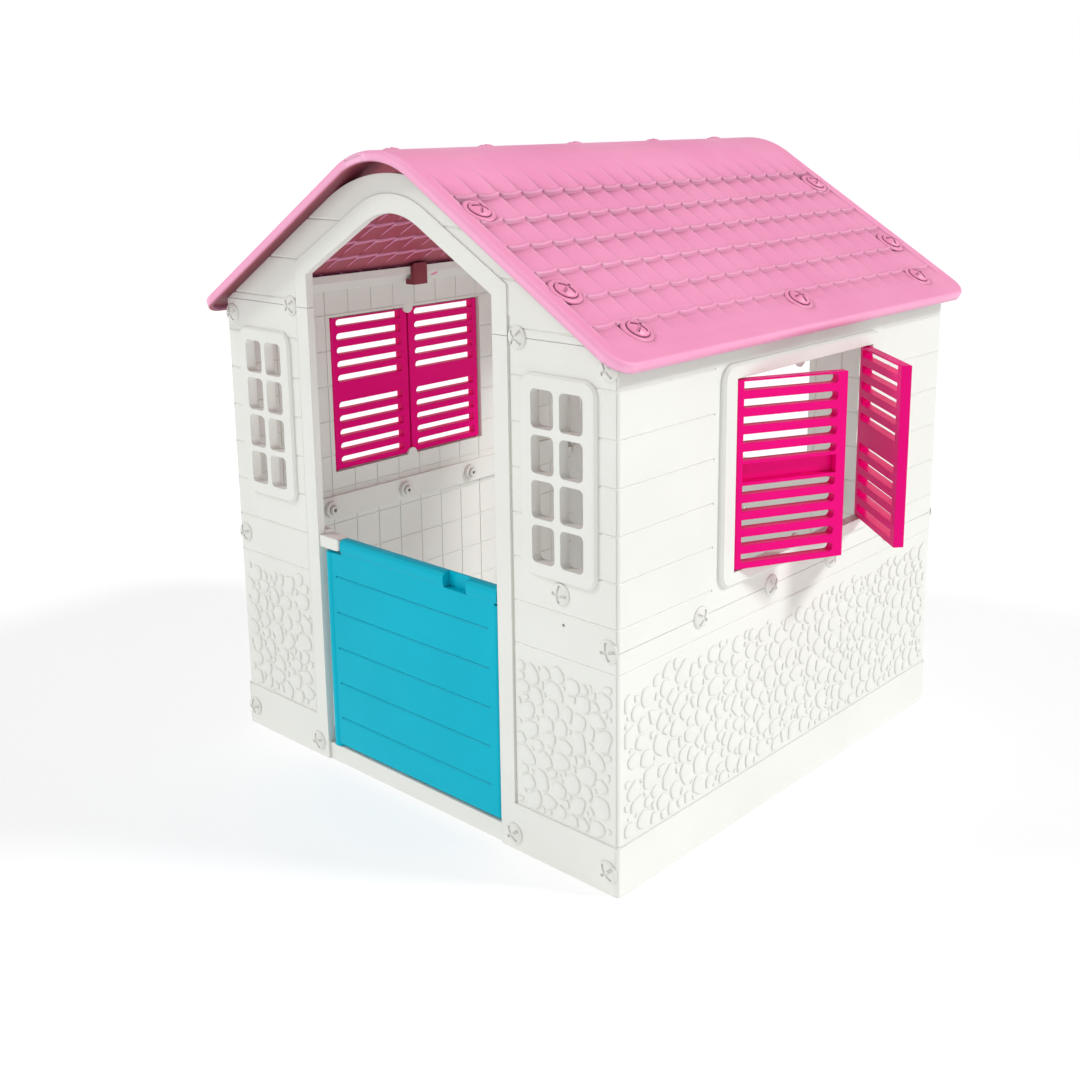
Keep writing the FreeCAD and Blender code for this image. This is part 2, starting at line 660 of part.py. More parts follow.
def door_bracket():
    """Arm beside the left jamb that holds the door's upper pin."""
    z0 = DOOR_STILE_TOP + BRACKET_GAP
    z1 = z0 + BRACKET_H
    y = DOOR_MID_Y - Y_FRONT
    back = y + DOOR_T / 2
    jamb = -DOORWAY_HALF_W
    arm = block(jamb + FIT, BRACKET_END, y - DOOR_T / 2, back, z0, z1)
    arm = arm.makeFillet(BRACKET_R, [e for e in arm.Edges if is_at_x(e, BRACKET_END)])
    foot = block(jamb - BRACKET_FOOT_W, jamb + BRACKET_R, WALL_T, back,
                 z0 - BRACKET_FOOT_RISE, z1 + BRACKET_FOOT_RISE)
    socket = rod(DOOR_PIN_R + RUN_CLEAR, (DOOR_PIN_X, y, z0 - 1), (0, 0, 1), BRACKET_SOCKET)
    return as_front(arm.fuse(foot).cut(socket))


def is_at_x(edge, x):
    return all(abs(v.X - x) < 0.01 for v in edge.Vertexes)


# ---- side walls -----------------------------------------------------------------------
# Each is made as the right-hand wall; the left one is its mirror image.
def footprint(set_back, z0, z1):
    """Upright prism on the house's plan, with its corners rounded."""
    whole = block(-X_SIDE + set_back, X_SIDE - set_back, Y_FRONT + set_back, Y_BACK - set_back,
                  z0, z1)
    upright = [e for e in whole.Edges if abs(e.Vertexes[0].Z - e.Vertexes[1].Z) > 1]
    return whole.makeFillet(HOUSE_CORNER_R, upright)


def side_shell(set_back, z0, z1):
    """The wall between two heights; it is thin where it laps over the end walls."""
    thin = block(X_SIDE - CORNER_T, X_SIDE, Y_FRONT, Y_BACK, z0, z1)
    full = block(X_SIDE - WALL_T, X_SIDE, Y_FRONT + WALL_T, Y_BACK - WALL_T, z0, z1)
    return footprint(set_back, z0, z1).common(thin.fuse(full))


def end_flanges(z0, z1):
    """Flanges that turn in behind the end walls and take their bolts."""
    x0 = X_SIDE - SIDE_FLANGE_W
    x1 = X_SIDE - CORNER_T
    front = block(x0, x1, Y_FRONT + WALL_T, Y_FRONT + WALL_T + FLANGE_T, z0, z1)
    back = block(x0, x1, Y_BACK - WALL_T - FLANGE_T, Y_BACK - WALL_T, z0, z1)
    return front.fuse(back)


def lower_side(side):
    top = SEAM_H - SEAM_GAP / 2
    wall = side_shell(0, 0, PLINTH_H).fuse(side_shell(FIELD_SET, PLINTH_H, top))
    wall = wall.fuse(end_flanges(0, top))
    x1 = X_SIDE - WALL_T
    inset = WALL_T + SEAM_STRIP_END
    strip = block(x1 - SEAM_STRIP_T, x1, Y_FRONT + inset, Y_BACK - inset,
                  SEAM_H - SEAM_STRIP_HALF_H, SEAM_H + SEAM_STRIP_HALF_H)
    wall = wall.cut(side_wall_grooves(side)).cut(side_inner_grooves())
    return side_finish(wall.fuse(strip), side)


def upper_side(side):
    bottom = SEAM_H + SEAM_GAP / 2
    wall = side_shell(FIELD_SET, bottom, RIDGE_TOP).fuse(end_flanges(bottom, RIDGE_TOP))
    wall = wall.common(prism_y(gable_outline(X_SIDE), Y_FRONT, Y_BACK))
    wall = wall.cut(side_wall_grooves(side)).cut(side_inner_grooves())
    ledge = roof_ledge(Y_FRONT + WALL_T, Y_BACK - WALL_T, X_SIDE - WALL_T + 1)
    ledge = ledge.common(block(X_SIDE - SIDE_FLANGE_W, X_SIDE, Y_FRONT, Y_BACK, 0, RIDGE_TOP))
    wall = wall.fuse(ledge)
    y, z = window_middle(side)
    width = WINDOW_W + 2 * WINDOW_FRAME_SIDE
    height = WINDOW_H + 2 * WINDOW_FRAME_END
    depth = WINDOW_FRAME_PROUD + FRAME_ROOT
    frame = rounded_plate(width, height, depth, WINDOW_FRAME_R, WINDOW_FRAME_SLIM)
    frame.rotate(Vector(0, 0, 0), Vector(0, 0, 1), 90)
    frame.translate(Vector(X_SIDE - FIELD_SET - FRAME_ROOT, y, z))
    wall = wall.fuse(frame)
    wall = wall.cut(block(X_SIDE - FAR, X_SIDE + FAR, y - WINDOW_W / 2, y + WINDOW_W / 2,
                          z - WINDOW_H / 2, z + WINDOW_H / 2))
    for end in (-1, 1):
        edge = z + end * WINDOW_H / 2
        wall = wall.fuse(rod(STOP_TAB_R, (X_SIDE - WALL_T, y, edge), (1, 0, 0), STOP_TAB_T))
        for hinge in (-1, 1):
            start = (SHUTTER_PIN_X, y + hinge * SHUTTER_PIN_Y, edge - SHUTTER_PIN_LEN - 1)
            socket = rod(SHUTTER_PIN_R + RUN_CLEAR, start, (0, 0, 1), 2 * (SHUTTER_PIN_LEN + 1))
            wall = wall.cut(socket)
    return side_finish(wall, side)


def side_finish(wall, side):
    """Put the wall on its side of the house and cut its bolt holes."""
    if side < 0:
        wall = mirror_x(wall)
    places = front_places() + back_places() + seam_places(side) + roof_places(side)
    return with_holes(wall, places)


def window_middle(side):
    y = Y_FRONT + WINDOW_MID_Y
    z = WINDOW_SILL + WINDOW_H / 2
    if side < 0:
        return y + LEFT_WINDOW_SHIFT_Y, z + LEFT_WINDOW_SHIFT_Z
    return y, z


# ---- shutters -------------------------------------------------------------------------
SHUTTER_PIN_X = X_SIDE - FIELD_SET + WINDOW_FRAME_PROUD - SHUTTER_T / 2
SHUTTER_PIN_Y = WINDOW_W / 2 - SHUTTER_GAP - SHUTTER_T / 2


def shutter(hinge):
    """Closed right-hand shutter about the window's middle; hinge -1 is the front edge."""
    half = SHUTTER_T / 2
    reach = SHUTTER_W - SHUTTER_T / 2
    panel = block(-half, half, 0, reach, -SHUTTER_H / 2, SHUTTER_H / 2)
    panel = panel.fuse(rod(half, (0, 0, -SHUTTER_H / 2), (0, 0, 1), SHUTTER_H))
    pin_len = SHUTTER_H + 2 * SHUTTER_PIN_LEN
    panel = panel.fuse(rod(SHUTTER_PIN_R, (0, 0, -pin_len / 2), (0, 0, 1), pin_len))
    y0 = SHUTTER_STILE - half
    y1 = reach - SHUTTER_STILE
    for z in slot_heights():
        panel = panel.cut(shutter_slot(y0, y1, z, -hinge))
    band_top = slot_heights()[SHUTTER_SLOTS - 1] - SHUTTER_SLOT_H / 2
    band_low = slot_heights()[SHUTTER_SLOTS] + SHUTTER_SLOT_H / 2
    panel = panel.cut(block(-half + SHUTTER_SKIN, half + 1, y0, y1,
                            band_low + SHUTTER_BAND_LIP, band_top - SHUTTER_BAND_LIP))
    if hinge > 0:
        panel = panel.mirror(Vector(0, 0, 0), Vector(0, 1, 0))
    return panel


def slot_heights():
    """Slot centres about the shutter's middle, from the top down."""
    first = SHUTTER_H / 2 - SHUTTER_TOP_RAIL - SHUTTER_SLOT_H / 2
    last = -SHUTTER_H / 2 + SHUTTER_LOW_RAIL + SHUTTER_SLOT_H / 2
    upper = [first - k * SHUTTER_SLOT_PITCH for k in range(SHUTTER_SLOTS)]
    lower = [last + k * SHUTTER_SLOT_PITCH for k in range(SHUTTER_SLOTS)]
    return upper + lower[::-1]


def shutter_slot(y0, y1, z, round_end):
    """Slot through a shutter, square at one end and half round at the other."""
    radius = SHUTTER_SLOT_H / 2
    centre = y1 - radius if round_end > 0 else y0 + radius
    if round_end > 0:
        y1 = centre
    else:
        y0 = centre
    straight = block(-FAR, FAR, y0, y1, z - radius, z + radius)
    return straight.fuse(rod(radius, (-FAR, centre, z), (1, 0, 0), 2 * FAR))


def place_shutter(side, hinge, open_deg):
    """Hang a shutter in its window, opened outwards; hinge -1 is the front edge."""
    panel = shutter(hinge * side)
    panel.rotate(Vector(0, 0, 0), Vector(0, 0, 1), hinge * side * open_deg)
    if side < 0:
        panel.rotate(Vector(0, 0, 0), Vector(0, 0, 1), 180)
    y, z = window_middle(side)
    panel.translate(Vector(side * SHUTTER_PIN_X, y + hinge * SHUTTER_PIN_Y, z))
    return panel


# ---- door -----------------------------------------------------------------------------
def door():
    """Half door with a round hinge stile, a fat rounded top rail and a finger notch."""
    y0 = -DOOR_T / 2
    y1 = DOOR_T / 2
    thin = DOOR_T / 2 - DOOR_THIN
    bead_foot = DOOR_TOP - DOOR_BEAD_H
    leaf = block(DOOR_PIN_X, DOOR_RIGHT, -thin, thin, DOOR_BOTTOM, DOOR_STILE_TOP)
    leaf = leaf.makeFillet(DOOR_EDGE_R, [e for e in leaf.Edges if is_upright_at(e, DOOR_RIGHT)])
    core = block(DOOR_STILE_END, DOOR_RIGHT - DOOR_EDGE_R, -thin, thin,
                 bead_foot - DOOR_EDGE_R, bead_foot + DOOR_BEAD_H / 2)
    bead = block(DOOR_STILE_END, DOOR_RIGHT, y0, y1, bead_foot, DOOR_TOP)
    bead = bead.makeFillet(DOOR_BEAD_R, [e for e in bead.Edges if e.Length > 2 * DOOR_BEAD_H])
    notch = block(DOOR_HANDLE_X - DOOR_HANDLE_W / 2, DOOR_HANDLE_X + DOOR_HANDLE_W / 2,
                  y0 - 1, DOOR_HANDLE_BACK, DOOR_TOP - DOOR_HANDLE_H, DOOR_TOP + 1)
    stile_foot = THRESHOLD_H + DOOR_LIFT
    stile = rod(DOOR_T / 2, (DOOR_PIN_X, 0, stile_foot), (0, 0, 1), DOOR_STILE_TOP - stile_foot)
    pin_len = DOOR_STILE_TOP + DOOR_PIN_RISE - DOOR_PIN_FOOT
    pin = rod(DOOR_PIN_R, (DOOR_PIN_X, 0, DOOR_PIN_FOOT), (0, 0, 1), pin_len)
    leaf = leaf.fuse([core, bead, stile, pin]).cut(notch).cut(door_grooves())
    leaf.translate(Vector(0, DOOR_MID_Y, 0))
    return leaf


def door_grooves():
    """Board joints on both faces of the door."""
    face = DOOR_T / 2 - DOOR_THIN
    cuts = []
    for k in range(DOOR_GROOVES):
        z = DOOR_GROOVE_FOOT + k * DOOR_GROOVE_PITCH
        for y, bottom in ((-face, GROOVE_DEPTH - face), (face, face - GROOVE_DEPTH)):
            cuts.append(vee(z, DOOR_GROOVE_LEFT, DOOR_GROOVE_RIGHT, y, bottom))
    return Part.makeCompound(cuts)


def is_upright_at(edge, x):
    ends = [v.Point for v in edge.Vertexes]
    return abs(ends[0].z - ends[1].z) > 1 and abs(ends[0].x - x) < 0.01


# ---- roof clips -----------------------------------------------------------------------
def roof_clip(side):
    """Hook under the roof that catches below the side wall's ledge."""
    inside = X_SIDE - SIDE_FLANGE_W
    x0 = inside - FIT - CLIP_ARM_T
    x1 = inside - FIT
    tip = inside + CLIP_REACH
    hook_top = roof_line(ROOF_T + FIT + LEDGE_T, tip) - CLIP_GAP
    hook_foot = hook_top - CLIP_HOOK_H
    outline = [
        (x0, hook_foot), (x0, roof_line(ROOF_T, x0)), (x1, roof_line(ROOF_T, x1)),
        (x1, hook_top), (tip, hook_top), (tip, hook_foot), (x0, hook_foot)]
    y = window_middle(side)[0]
    hook = prism_y(outline, y - CLIP_HALF_W, y + CLIP_HALF_W)
    return mirror_x(hook) if side < 0 else hook


# ---- write the sub-parts ----------------------------------------------------------------
def write_end_walls():
    roof_bolts = roof_places(-1) + roof_places(1)
    names = ("left_panel", "right_panel", "gable_panel")
    places = local_places(front_places() + roof_bolts)
    for name, piece in zip(names, end_wall_panels(DOORWAY_HALF_W, places)):
        if name == "right_panel":
            piece = piece.cut(rod(PILOT_HOLE_R, (PILOT_HOLE_X, -1, PILOT_HOLE_Z), (0, 1, 0), WALL_T))
        save("front_" + name, as_front(piece))
    names = ("right_panel", "left_panel", "gable_panel")
    places = local_places(back_places() + roof_bolts, back=True)
    for name, piece in zip(names, end_wall_panels(BACK_OPENING_HALF_W, places)):
        save("back_" + name, as_back(piece))
    save("front_threshold", threshold())
    save("back_half_wall", half_wall())
    save("door_upper_bracket", door_bracket())


def write_side_walls():
    for name, side in (("left", -1), ("right", 1)):
        save(name + "_lower_panel", lower_side(side))
        save(name + "_upper_panel", upper_side(side))
        save(name + "_seam_bolts", [bolt(p, NUT_T - 1) for p in seam_places(side)])
        save(name + "_seam_nuts", [nut(p) for p in seam_places(side)])


def write_roof():
    save("roof_right_panel", roof_right())
    save("roof_left_panel", roof_left())
    save("roof_clips", [roof_clip(-1), roof_clip(1)])
    save("roof_right_bolts", [bolt(p, 0) for p in roof_places(1)])
    save("roof_left_bolts", [bolt(p, 0) for p in roof_places(-1)])
    save("ridge_bolts", [bolt(p, 0) for p in ridge_places()])


def write_moving_parts():
    save("front_door", door())
    save("right_front_shutter", place_shutter(1, -1, RIGHT_FRONT_OPEN_DEG))
    save("right_back_shutter", place_shutter(1, 1, RIGHT_BACK_OPEN_DEG))
    save("left_front_shutter", place_shutter(-1, -1, 0))
    save("left_back_shutter", place_shutter(-1, 1, 0))


def write_wall_bolts():
    """Corner bolts go into the side walls' flanges and have no nuts; the rest do."""
    for end, places in (("front", front_places()), ("back", back_places())):
        nutted = [p for p in places if abs(p[0][0]) < CORNER_X]
        corners = [p for p in places if abs(p[0][0]) >= CORNER_X]
        bolts = [bolt(p, NUT_T - 1) for p in nutted] + [bolt(p, 0) for p in corners]
        save(end + "_bolts", bolts)
        save(end + "_nuts", [nut(p) for p in nutted])


write_end_walls()
write_side_walls()
write_wall_bolts()
write_roof()
write_moving_parts()
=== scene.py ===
import json
import math
import random

import bmesh
import bpy
from mathutils import Matrix, Vector, noise


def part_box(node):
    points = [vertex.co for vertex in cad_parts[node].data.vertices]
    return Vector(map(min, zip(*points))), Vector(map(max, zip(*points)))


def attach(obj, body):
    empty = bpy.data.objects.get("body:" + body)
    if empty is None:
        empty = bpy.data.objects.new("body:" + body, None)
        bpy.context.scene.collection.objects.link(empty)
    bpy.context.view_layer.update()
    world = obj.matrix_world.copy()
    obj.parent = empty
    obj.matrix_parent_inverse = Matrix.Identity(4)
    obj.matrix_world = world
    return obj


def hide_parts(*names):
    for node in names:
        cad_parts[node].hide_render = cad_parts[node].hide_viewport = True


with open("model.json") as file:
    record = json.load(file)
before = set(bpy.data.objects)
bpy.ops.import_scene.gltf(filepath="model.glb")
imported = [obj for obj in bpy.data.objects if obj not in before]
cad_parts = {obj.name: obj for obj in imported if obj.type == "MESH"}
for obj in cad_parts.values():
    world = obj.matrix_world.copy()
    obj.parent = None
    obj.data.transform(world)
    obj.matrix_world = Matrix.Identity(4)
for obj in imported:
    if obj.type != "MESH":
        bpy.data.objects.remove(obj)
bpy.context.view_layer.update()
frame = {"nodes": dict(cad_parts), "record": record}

# A child's plastic playhouse. Metres, +Z up, +Y from the doorway to the back wall. The stonework,
# the tiled roof with its collars, the bolts and the tubes on the nuts are modelled here, where the
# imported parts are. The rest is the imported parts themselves, with softened edges.

MM = 0.001

# ---- places read from the frame --------------------------------------------------------
WALL_LOW, WALL_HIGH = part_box("right_lower_panel")
ROOF_LOW, ROOF_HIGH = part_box("roof_right_panel")
X_SIDE = WALL_HIGH.x                     # the plinth's faces
Y_FRONT = WALL_LOW.y
Y_BACK = WALL_HIGH.y
DOORWAY_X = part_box("front_right_panel")[0].x        # half the doorway's width
BACK_OPENING_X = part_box("back_right_panel")[0].x    # half the back opening's width

FIELD_SET = 2.5 * MM                     # boards and stonework lie behind the plinth's face
PLINTH_H = 76 * MM
BOARD_FOOT = 333 * MM                    # lowest joint between boards
JAMB_BAND = 29 * MM                      # smooth upright band beside an opening
ROOF_PITCH = math.radians(32)
RIDGE_R = 161 * MM                       # outer radius of the rounded ridge


# ---- small helpers ------------------------------------------------------------------------
def smooth(low, high, value):
    """0 below low, 1 above high, and an easy curve between."""
    t = min(1.0, max(0.0, (value - low) / (high - low)))
    return t * t * (3 - 2 * t)


def rgb(r, g, b):
    """An opaque colour."""
    return (r, g, b, 1.0)


def new_piece(name, bm, material, body, replaces=()):
    """Make a piece of a bmesh, with its material and its place in the frame."""
    bmesh.ops.recalc_face_normals(bm, faces=bm.faces)
    mesh = bpy.data.meshes.new(name)
    bm.to_mesh(mesh)
    bm.free()
    for polygon in mesh.polygons:
        polygon.use_smooth = True
    piece = bpy.data.objects.new(name, mesh)
    bpy.context.scene.collection.objects.link(piece)
    mesh.materials.append(material)
    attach(piece, body)
    if replaces:
        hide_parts(*replaces)
    return piece


# ---- materials ------------------------------------------------------------------------------
MIX_FACTOR, MIX_FIRST, MIX_SECOND, MIX_RESULT = 0, 6, 7, 2     # a colour mix node's sockets


class Nodes:
    """Shorthand for building one material's node tree."""

    def __init__(self, name):
        self.material = bpy.data.materials.new(name)
        self.material.use_nodes = True
        self.tree = self.material.node_tree
        self.tree.nodes.clear()

    def add(self, kind, inputs=None, **settings):
        node = self.tree.nodes.new(kind)
        for key, value in settings.items():
            setattr(node, key, value)
        for key, value in (inputs or {}).items():
            if isinstance(value, bpy.types.NodeSocket):
                self.tree.links.new(value, node.inputs[key])
            else:
                node.inputs[key].default_value = value
        return node

    def remap(self, value, low, high, to_low, to_high):
        node = self.add("ShaderNodeMapRange", {
            "Value": value, "From Min": low, "From Max": high,
            "To Min": to_low, "To Max": to_high})
        return node.outputs["Result"]

    def mix(self, factor, first, second):
        sockets = {MIX_FACTOR: factor, MIX_FIRST: first, MIX_SECOND: second}
        return self.add("ShaderNodeMix", sockets, data_type="RGBA").outputs[MIX_RESULT]


BROAD_SCALE = 5.0                        # patches of tone, in waves per metre
FLOW_SCALE = (18.0, 18.0, 60.0)          # flow marks, drawn out sideways
GRAIN_SCALE = 1300.0
PIT_SCALE = 700.0
GRAIN_DEPTH = 0.3 * MM
FLOW_DEPTH = 2 * MM
FLOW_STRENGTH = 0.06
FLOW_TONE = 0.3                          # most that a flow mark changes the colour
ROUGH_LESS, ROUGH_MORE = 0.05, 0.06      # spread of the roughness
PAINTED_SHADE_POWER = 1.25                      # painted shade in recesses is a deeper version of the shade colour
EDGE_FROM, EDGE_FULL, EDGE_HIGHLIGHT = 0.505, 0.56, 0.8      # pointiness of a raised edge, and the strength of the painted highlight laid on it
DOWN_FULL, DOWN_FROM = -0.76, -0.62      # the normal's z where a face counts as looking down and gets painted shade
UNDER_PAINTED_SHADE = 0.45                      # painted shade in recesses that look down, as a share of the colour there


def moulded_plastic(name, colour, shade, roughness, grain=0.10, recess_shade_tone=0.8, reach=5 * MM,
                    shut=(0.85, 0.35), rounding=0.0, gloss=0.35, below=None, edge=None):
    """Satin moulded plastic: fine grain, faint flow marks, painted shade in its recesses, soft edges.

    A recess is where reach finds less open space than shut's first value, and fully so at its
    second; there a darker copy of the shade colour is painted on as shade. Where they are given,
    below is the painted-shade colour of faces that look down, and edge the painted-highlight
    colour of raised edges."""
    m = Nodes(name)
    place = m.add("ShaderNodeTexCoord").outputs["Object"]
    stretched = m.add("ShaderNodeMapping", {"Vector": place, "Scale": FLOW_SCALE}).outputs[0]
    broad = m.add("ShaderNodeTexNoise", {"Vector": place, "Scale": BROAD_SCALE, "Detail": 3.0})
    flow = m.add("ShaderNodeTexNoise", {
        "Vector": stretched, "Scale": 1.0, "Detail": 4.0, "Roughness": 0.6})
    fine = m.add("ShaderNodeTexNoise", {"Vector": place, "Scale": GRAIN_SCALE, "Detail": 2.0})
    pits = m.add("ShaderNodeTexVoronoi", {"Vector": place, "Scale": PIT_SCALE})
    base = m.mix(m.remap(broad.outputs["Fac"], 0.35, 0.65, 0.0, 1.0), colour, shade)
    base = m.mix(m.remap(flow.outputs["Fac"], 0.45, 0.75, 0.0, FLOW_TONE), base, shade)
    # Painted shade: where the occlusion node finds a recess, the colour turns to a darker copy of the
    # shade colour.
    recess = rgb(*(c ** PAINTED_SHADE_POWER * recess_shade_tone for c in shade[:3]))
    open_air = m.add("ShaderNodeAmbientOcclusion", {"Distance": reach}, samples=6)
    painted_shade_mask = m.remap(open_air.outputs["AO"], shut[0], shut[1], 0.0, 1.0)
    base = m.mix(painted_shade_mask, base, recess)
    # Painted highlight: raised edges, found by pointiness, are tinted lighter.
    if edge:
        raised = m.add("ShaderNodeNewGeometry").outputs["Pointiness"]
        base = m.mix(m.remap(raised, EDGE_FROM, EDGE_FULL, 0.0, EDGE_HIGHLIGHT), base, edge)
    # Painted shade: faces that look down take a dark colour, darker still in their recesses.
    if below:
        facing = m.add("ShaderNodeNewGeometry").outputs["True Normal"]
        upward = m.add("ShaderNodeSeparateXYZ", {"Vector": facing}).outputs["Z"]
        painted_deep_shade_below = rgb(*(c * UNDER_PAINTED_SHADE for c in below[:3]))
        under = m.mix(painted_shade_mask, below, painted_deep_shade_below)
        base = m.mix(m.remap(upward, DOWN_FULL, DOWN_FROM, 1.0, 0.0), base, under)
    rough = m.remap(broad.outputs["Fac"], 0.3, 0.7, roughness - ROUGH_LESS, roughness + ROUGH_MORE)
    height = m.add("ShaderNodeMath", {
        0: fine.outputs["Fac"], 1: pits.outputs["Distance"]}, operation="ADD").outputs[0]
    bump = m.add("ShaderNodeBump", {"Height": height, "Strength": grain, "Distance": GRAIN_DEPTH})
    if rounding:
        softened = m.add("ShaderNodeBevel", {"Radius": rounding}, samples=4)
        m.tree.links.new(softened.outputs["Normal"], bump.inputs["Normal"])
    wave = m.add("ShaderNodeBump", {
        "Height": flow.outputs["Fac"], "Strength": FLOW_STRENGTH, "Distance": FLOW_DEPTH,
        "Normal": bump.outputs["Normal"]})
    shader = m.add("ShaderNodeBsdfPrincipled", {
        "Base Color": base, "Roughness": rough, "Normal": wave.outputs["Normal"], "IOR": 1.5,
        "Specular IOR Level": gloss})
    m.add("ShaderNodeOutputMaterial", {"Surface": shader.outputs["BSDF"]})
    return m.material


# Each plastic here has painted shade in its recesses, set by its recess tone and reach; on the walls it
# is faint.
WALL = moulded_plastic("wall_white", rgb(0.775, 0.785, 0.74), rgb(0.75, 0.755, 0.71), 0.42,
                       recess_shade_tone=1.1, reach=4 * MM, rounding=1.2 * MM)
STONE = moulded_plastic("stone_white", rgb(0.77, 0.78, 0.735), rgb(0.745, 0.75, 0.705), 0.44,
                        recess_shade_tone=0.8, reach=3.5 * MM)
BOLT = moulded_plastic("bolt_white", rgb(0.765, 0.77, 0.725), rgb(0.735, 0.735, 0.69), 0.38,
                       grain=0.05, recess_shade_tone=0.62, reach=4 * MM, rounding=0.5 * MM)
# The roof has painted shade in its tile hollows, a painted highlight on the tiles' raised lips and
# painted shade on faces that look down.
ROOF = moulded_plastic("roof_pink", rgb(0.86, 0.31, 0.51), rgb(0.81, 0.27, 0.465), 0.42,
                       recess_shade_tone=0.34, reach=28 * MM, shut=(0.985, 0.74), edge=rgb(0.98, 0.52, 0.73),
                       below=rgb(0.37, 0.065, 0.10))
# Strong painted shade darkens the narrow gap between each collar and its bolt head.
ROOF_COLLAR = moulded_plastic("roof_collar_pink", rgb(0.84, 0.295, 0.49), rgb(0.80, 0.265, 0.455),
                              0.42, recess_shade_tone=0.12, reach=7 * MM, shut=(0.9, 0.4), rounding=1.5 * MM)
ROOF_FIXING = moulded_plastic("roof_bolt_pink", rgb(0.82, 0.28, 0.47), rgb(0.78, 0.25, 0.44), 0.40,
                              recess_shade_tone=0.10, reach=6 * MM, rounding=0.5 * MM)
DOOR = moulded_plastic("door_cyan", rgb(0.0, 0.45, 0.595), rgb(0.0, 0.42, 0.56), 0.34,
                       recess_shade_tone=0.8, reach=2.5 * MM, rounding=1.2 * MM, gloss=0.1)
SHUTTER = moulded_plastic("shutter_magenta", rgb(0.83, 0.0, 0.20), rgb(0.78, 0.0, 0.185), 0.36,
                          rounding=1.2 * MM, gloss=0.08)
# Painted shade: the roof clips are of the roof's pink plastic, coloured dark red as if in shade.
CLIP_IN_PAINTED_SHADE = moulded_plastic("clip_red", rgb(0.27, 0.035, 0.06), rgb(0.22, 0.025, 0.045), 0.42,
                       recess_shade_tone=0.7, rounding=1.0 * MM)
SLOT_MATERIALS = {"wall_plastic": WALL, "bolt_plastic": BOLT, "roof_plastic": ROOF_FIXING,
                  "door_plastic": DOOR, "shutter_plastic": SHUTTER}


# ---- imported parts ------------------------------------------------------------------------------
def dress_packed_parts():
    """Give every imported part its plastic."""
    for part in frame["record"]["subparts"]:
        node = part["node"]
        mesh = frame["nodes"][node].data
        mesh.materials.clear()
        # The roof clips get the dark painted-shade copy of the roof's pink.
        plastic = CLIP_IN_PAINTED_SHADE if node == "roof_clips" else SLOT_MATERIALS[part["material_slot"]]
        mesh.materials.append(plastic)


# ---- stonework ---------------------------------------------------------------------------------
STONE_RISE = 2.45 * MM
# Half width in mm, from and to, and the number of tries on each TRY_WIDTH of wall.
STONE_SIZES = ((13.5, 11, 260), (11, 8.5, 700), (8, 6.5, 900), (5.6, 4.6, 700), (3.8, 3.2, 350))
TRY_WIDTH = 300 * MM
STONE_LONG = (1.0, 1.55)                 # length over width
STONE_GAP = 3.4 * MM
STONE_RINGS = ((0.0, -0.2), (0.0, 0.1), (0.5, 0.5), (1.1, 0.86), (2.0, 1.0))   # mm in, rise
MOST_INSET = 0.6                         # of the way in, on small stones
OUTLINE_POINTS = 9
OUTLINE_REACH = (1.0, 1.32)              # how far its corners stand out from the oval
SMALL_STONE = 3 * MM
LOW_RISE = 0.55                          # a stone has this share of the rise, plus its half
RISE_SIZE = 12 * MM                      # width over RISE_SIZE, up to the whole
CLOSE_BY = 32 * MM                       # stones further off than this aren't tested for room,
IN_THE_WAY = 48 * MM                     # and than this aren't let cut the outline
RAGGED_MEAN, RAGGED_SWING, RAGGED_WAVES = 10, 22, 14     # the field's upper edge, mm and per metre
OVER_PLINTH = 4 * MM                     # clear borders round the fields
UNDER_BOARDS = 12 * MM
FROM_CORNER = 13 * MM
FROM_END = 15 * MM
FROM_JAMB = 5 * MM
FROM_OPENING = 6 * MM


def oval_reach(stone, angle):
    """How far an oval stone reaches from its middle in a direction."""
    _, _, short, long, turn = stone
    return short * long / math.hypot(short * math.cos(angle - turn), long * math.sin(angle - turn))


def apart(stone, other):
    """Distance between two stones' middles, its direction, and the reach of each that way."""
    du, dv = other[0] - stone[0], other[1] - stone[1]
    angle = math.atan2(dv, du)
    return math.hypot(du, dv), angle, oval_reach(stone, angle), oval_reach(other, angle)


def fits(stone, stones):
    """True where a stone touches none that are there already."""
    for other in stones:
        if abs(other[0] - stone[0]) > CLOSE_BY or abs(other[1] - stone[1]) > CLOSE_BY:
            continue
        gap, _, near, far = apart(stone, other)
        if gap < near + far:
            return False
    return True


def scatter_stones(width, height, rng):
    """Oval stones packed at random, large ones first: (u, v, short, long, turn)."""
    stones = []
    drift = rng.uniform(0, 50)
    for large, small, tries in STONE_SIZES:
        for _ in range(int(tries * width / TRY_WIDTH)):
            short = rng.uniform(small, large) * MM
            long = short * rng.uniform(*STONE_LONG)
            u = rng.uniform(short, width - short)
            ragged = RAGGED_MEAN + RAGGED_SWING * noise.noise(Vector((u * RAGGED_WAVES, drift, 0)))
            v = rng.uniform(short, height - max(0.0, ragged) * MM - short)
            stone = (u, v, short, long, rng.uniform(0, math.pi))
            if fits(stone, stones):
                stones.append(stone)
    return stones


def clip(polygon, nx, ny, limit):
    """The part of a polygon where nx * u + ny * v is at most limit."""
    kept = []
    for k, (u, v) in enumerate(polygon):
        a = nx * u + ny * v - limit
        p, q = polygon[(k + 1) % len(polygon)]
        b = nx * p + ny * q - limit
        if a <= 0:
            kept.append((u, v))
        if (a < 0) != (b < 0) and a != b:
            t = a / (a - b)
            kept.append((u + (p - u) * t, v + (q - v) * t))
    return kept


def rounded(polygon):
    """One pass of corner cutting."""
    result = []
    for k, (u, v) in enumerate(polygon):
        p, q = polygon[(k + 1) % len(polygon)]
        result.append((u * 0.75 + p * 0.25, v * 0.75 + q * 0.25))
        result.append((u * 0.25 + p * 0.75, v * 0.25 + q * 0.75))
    return result


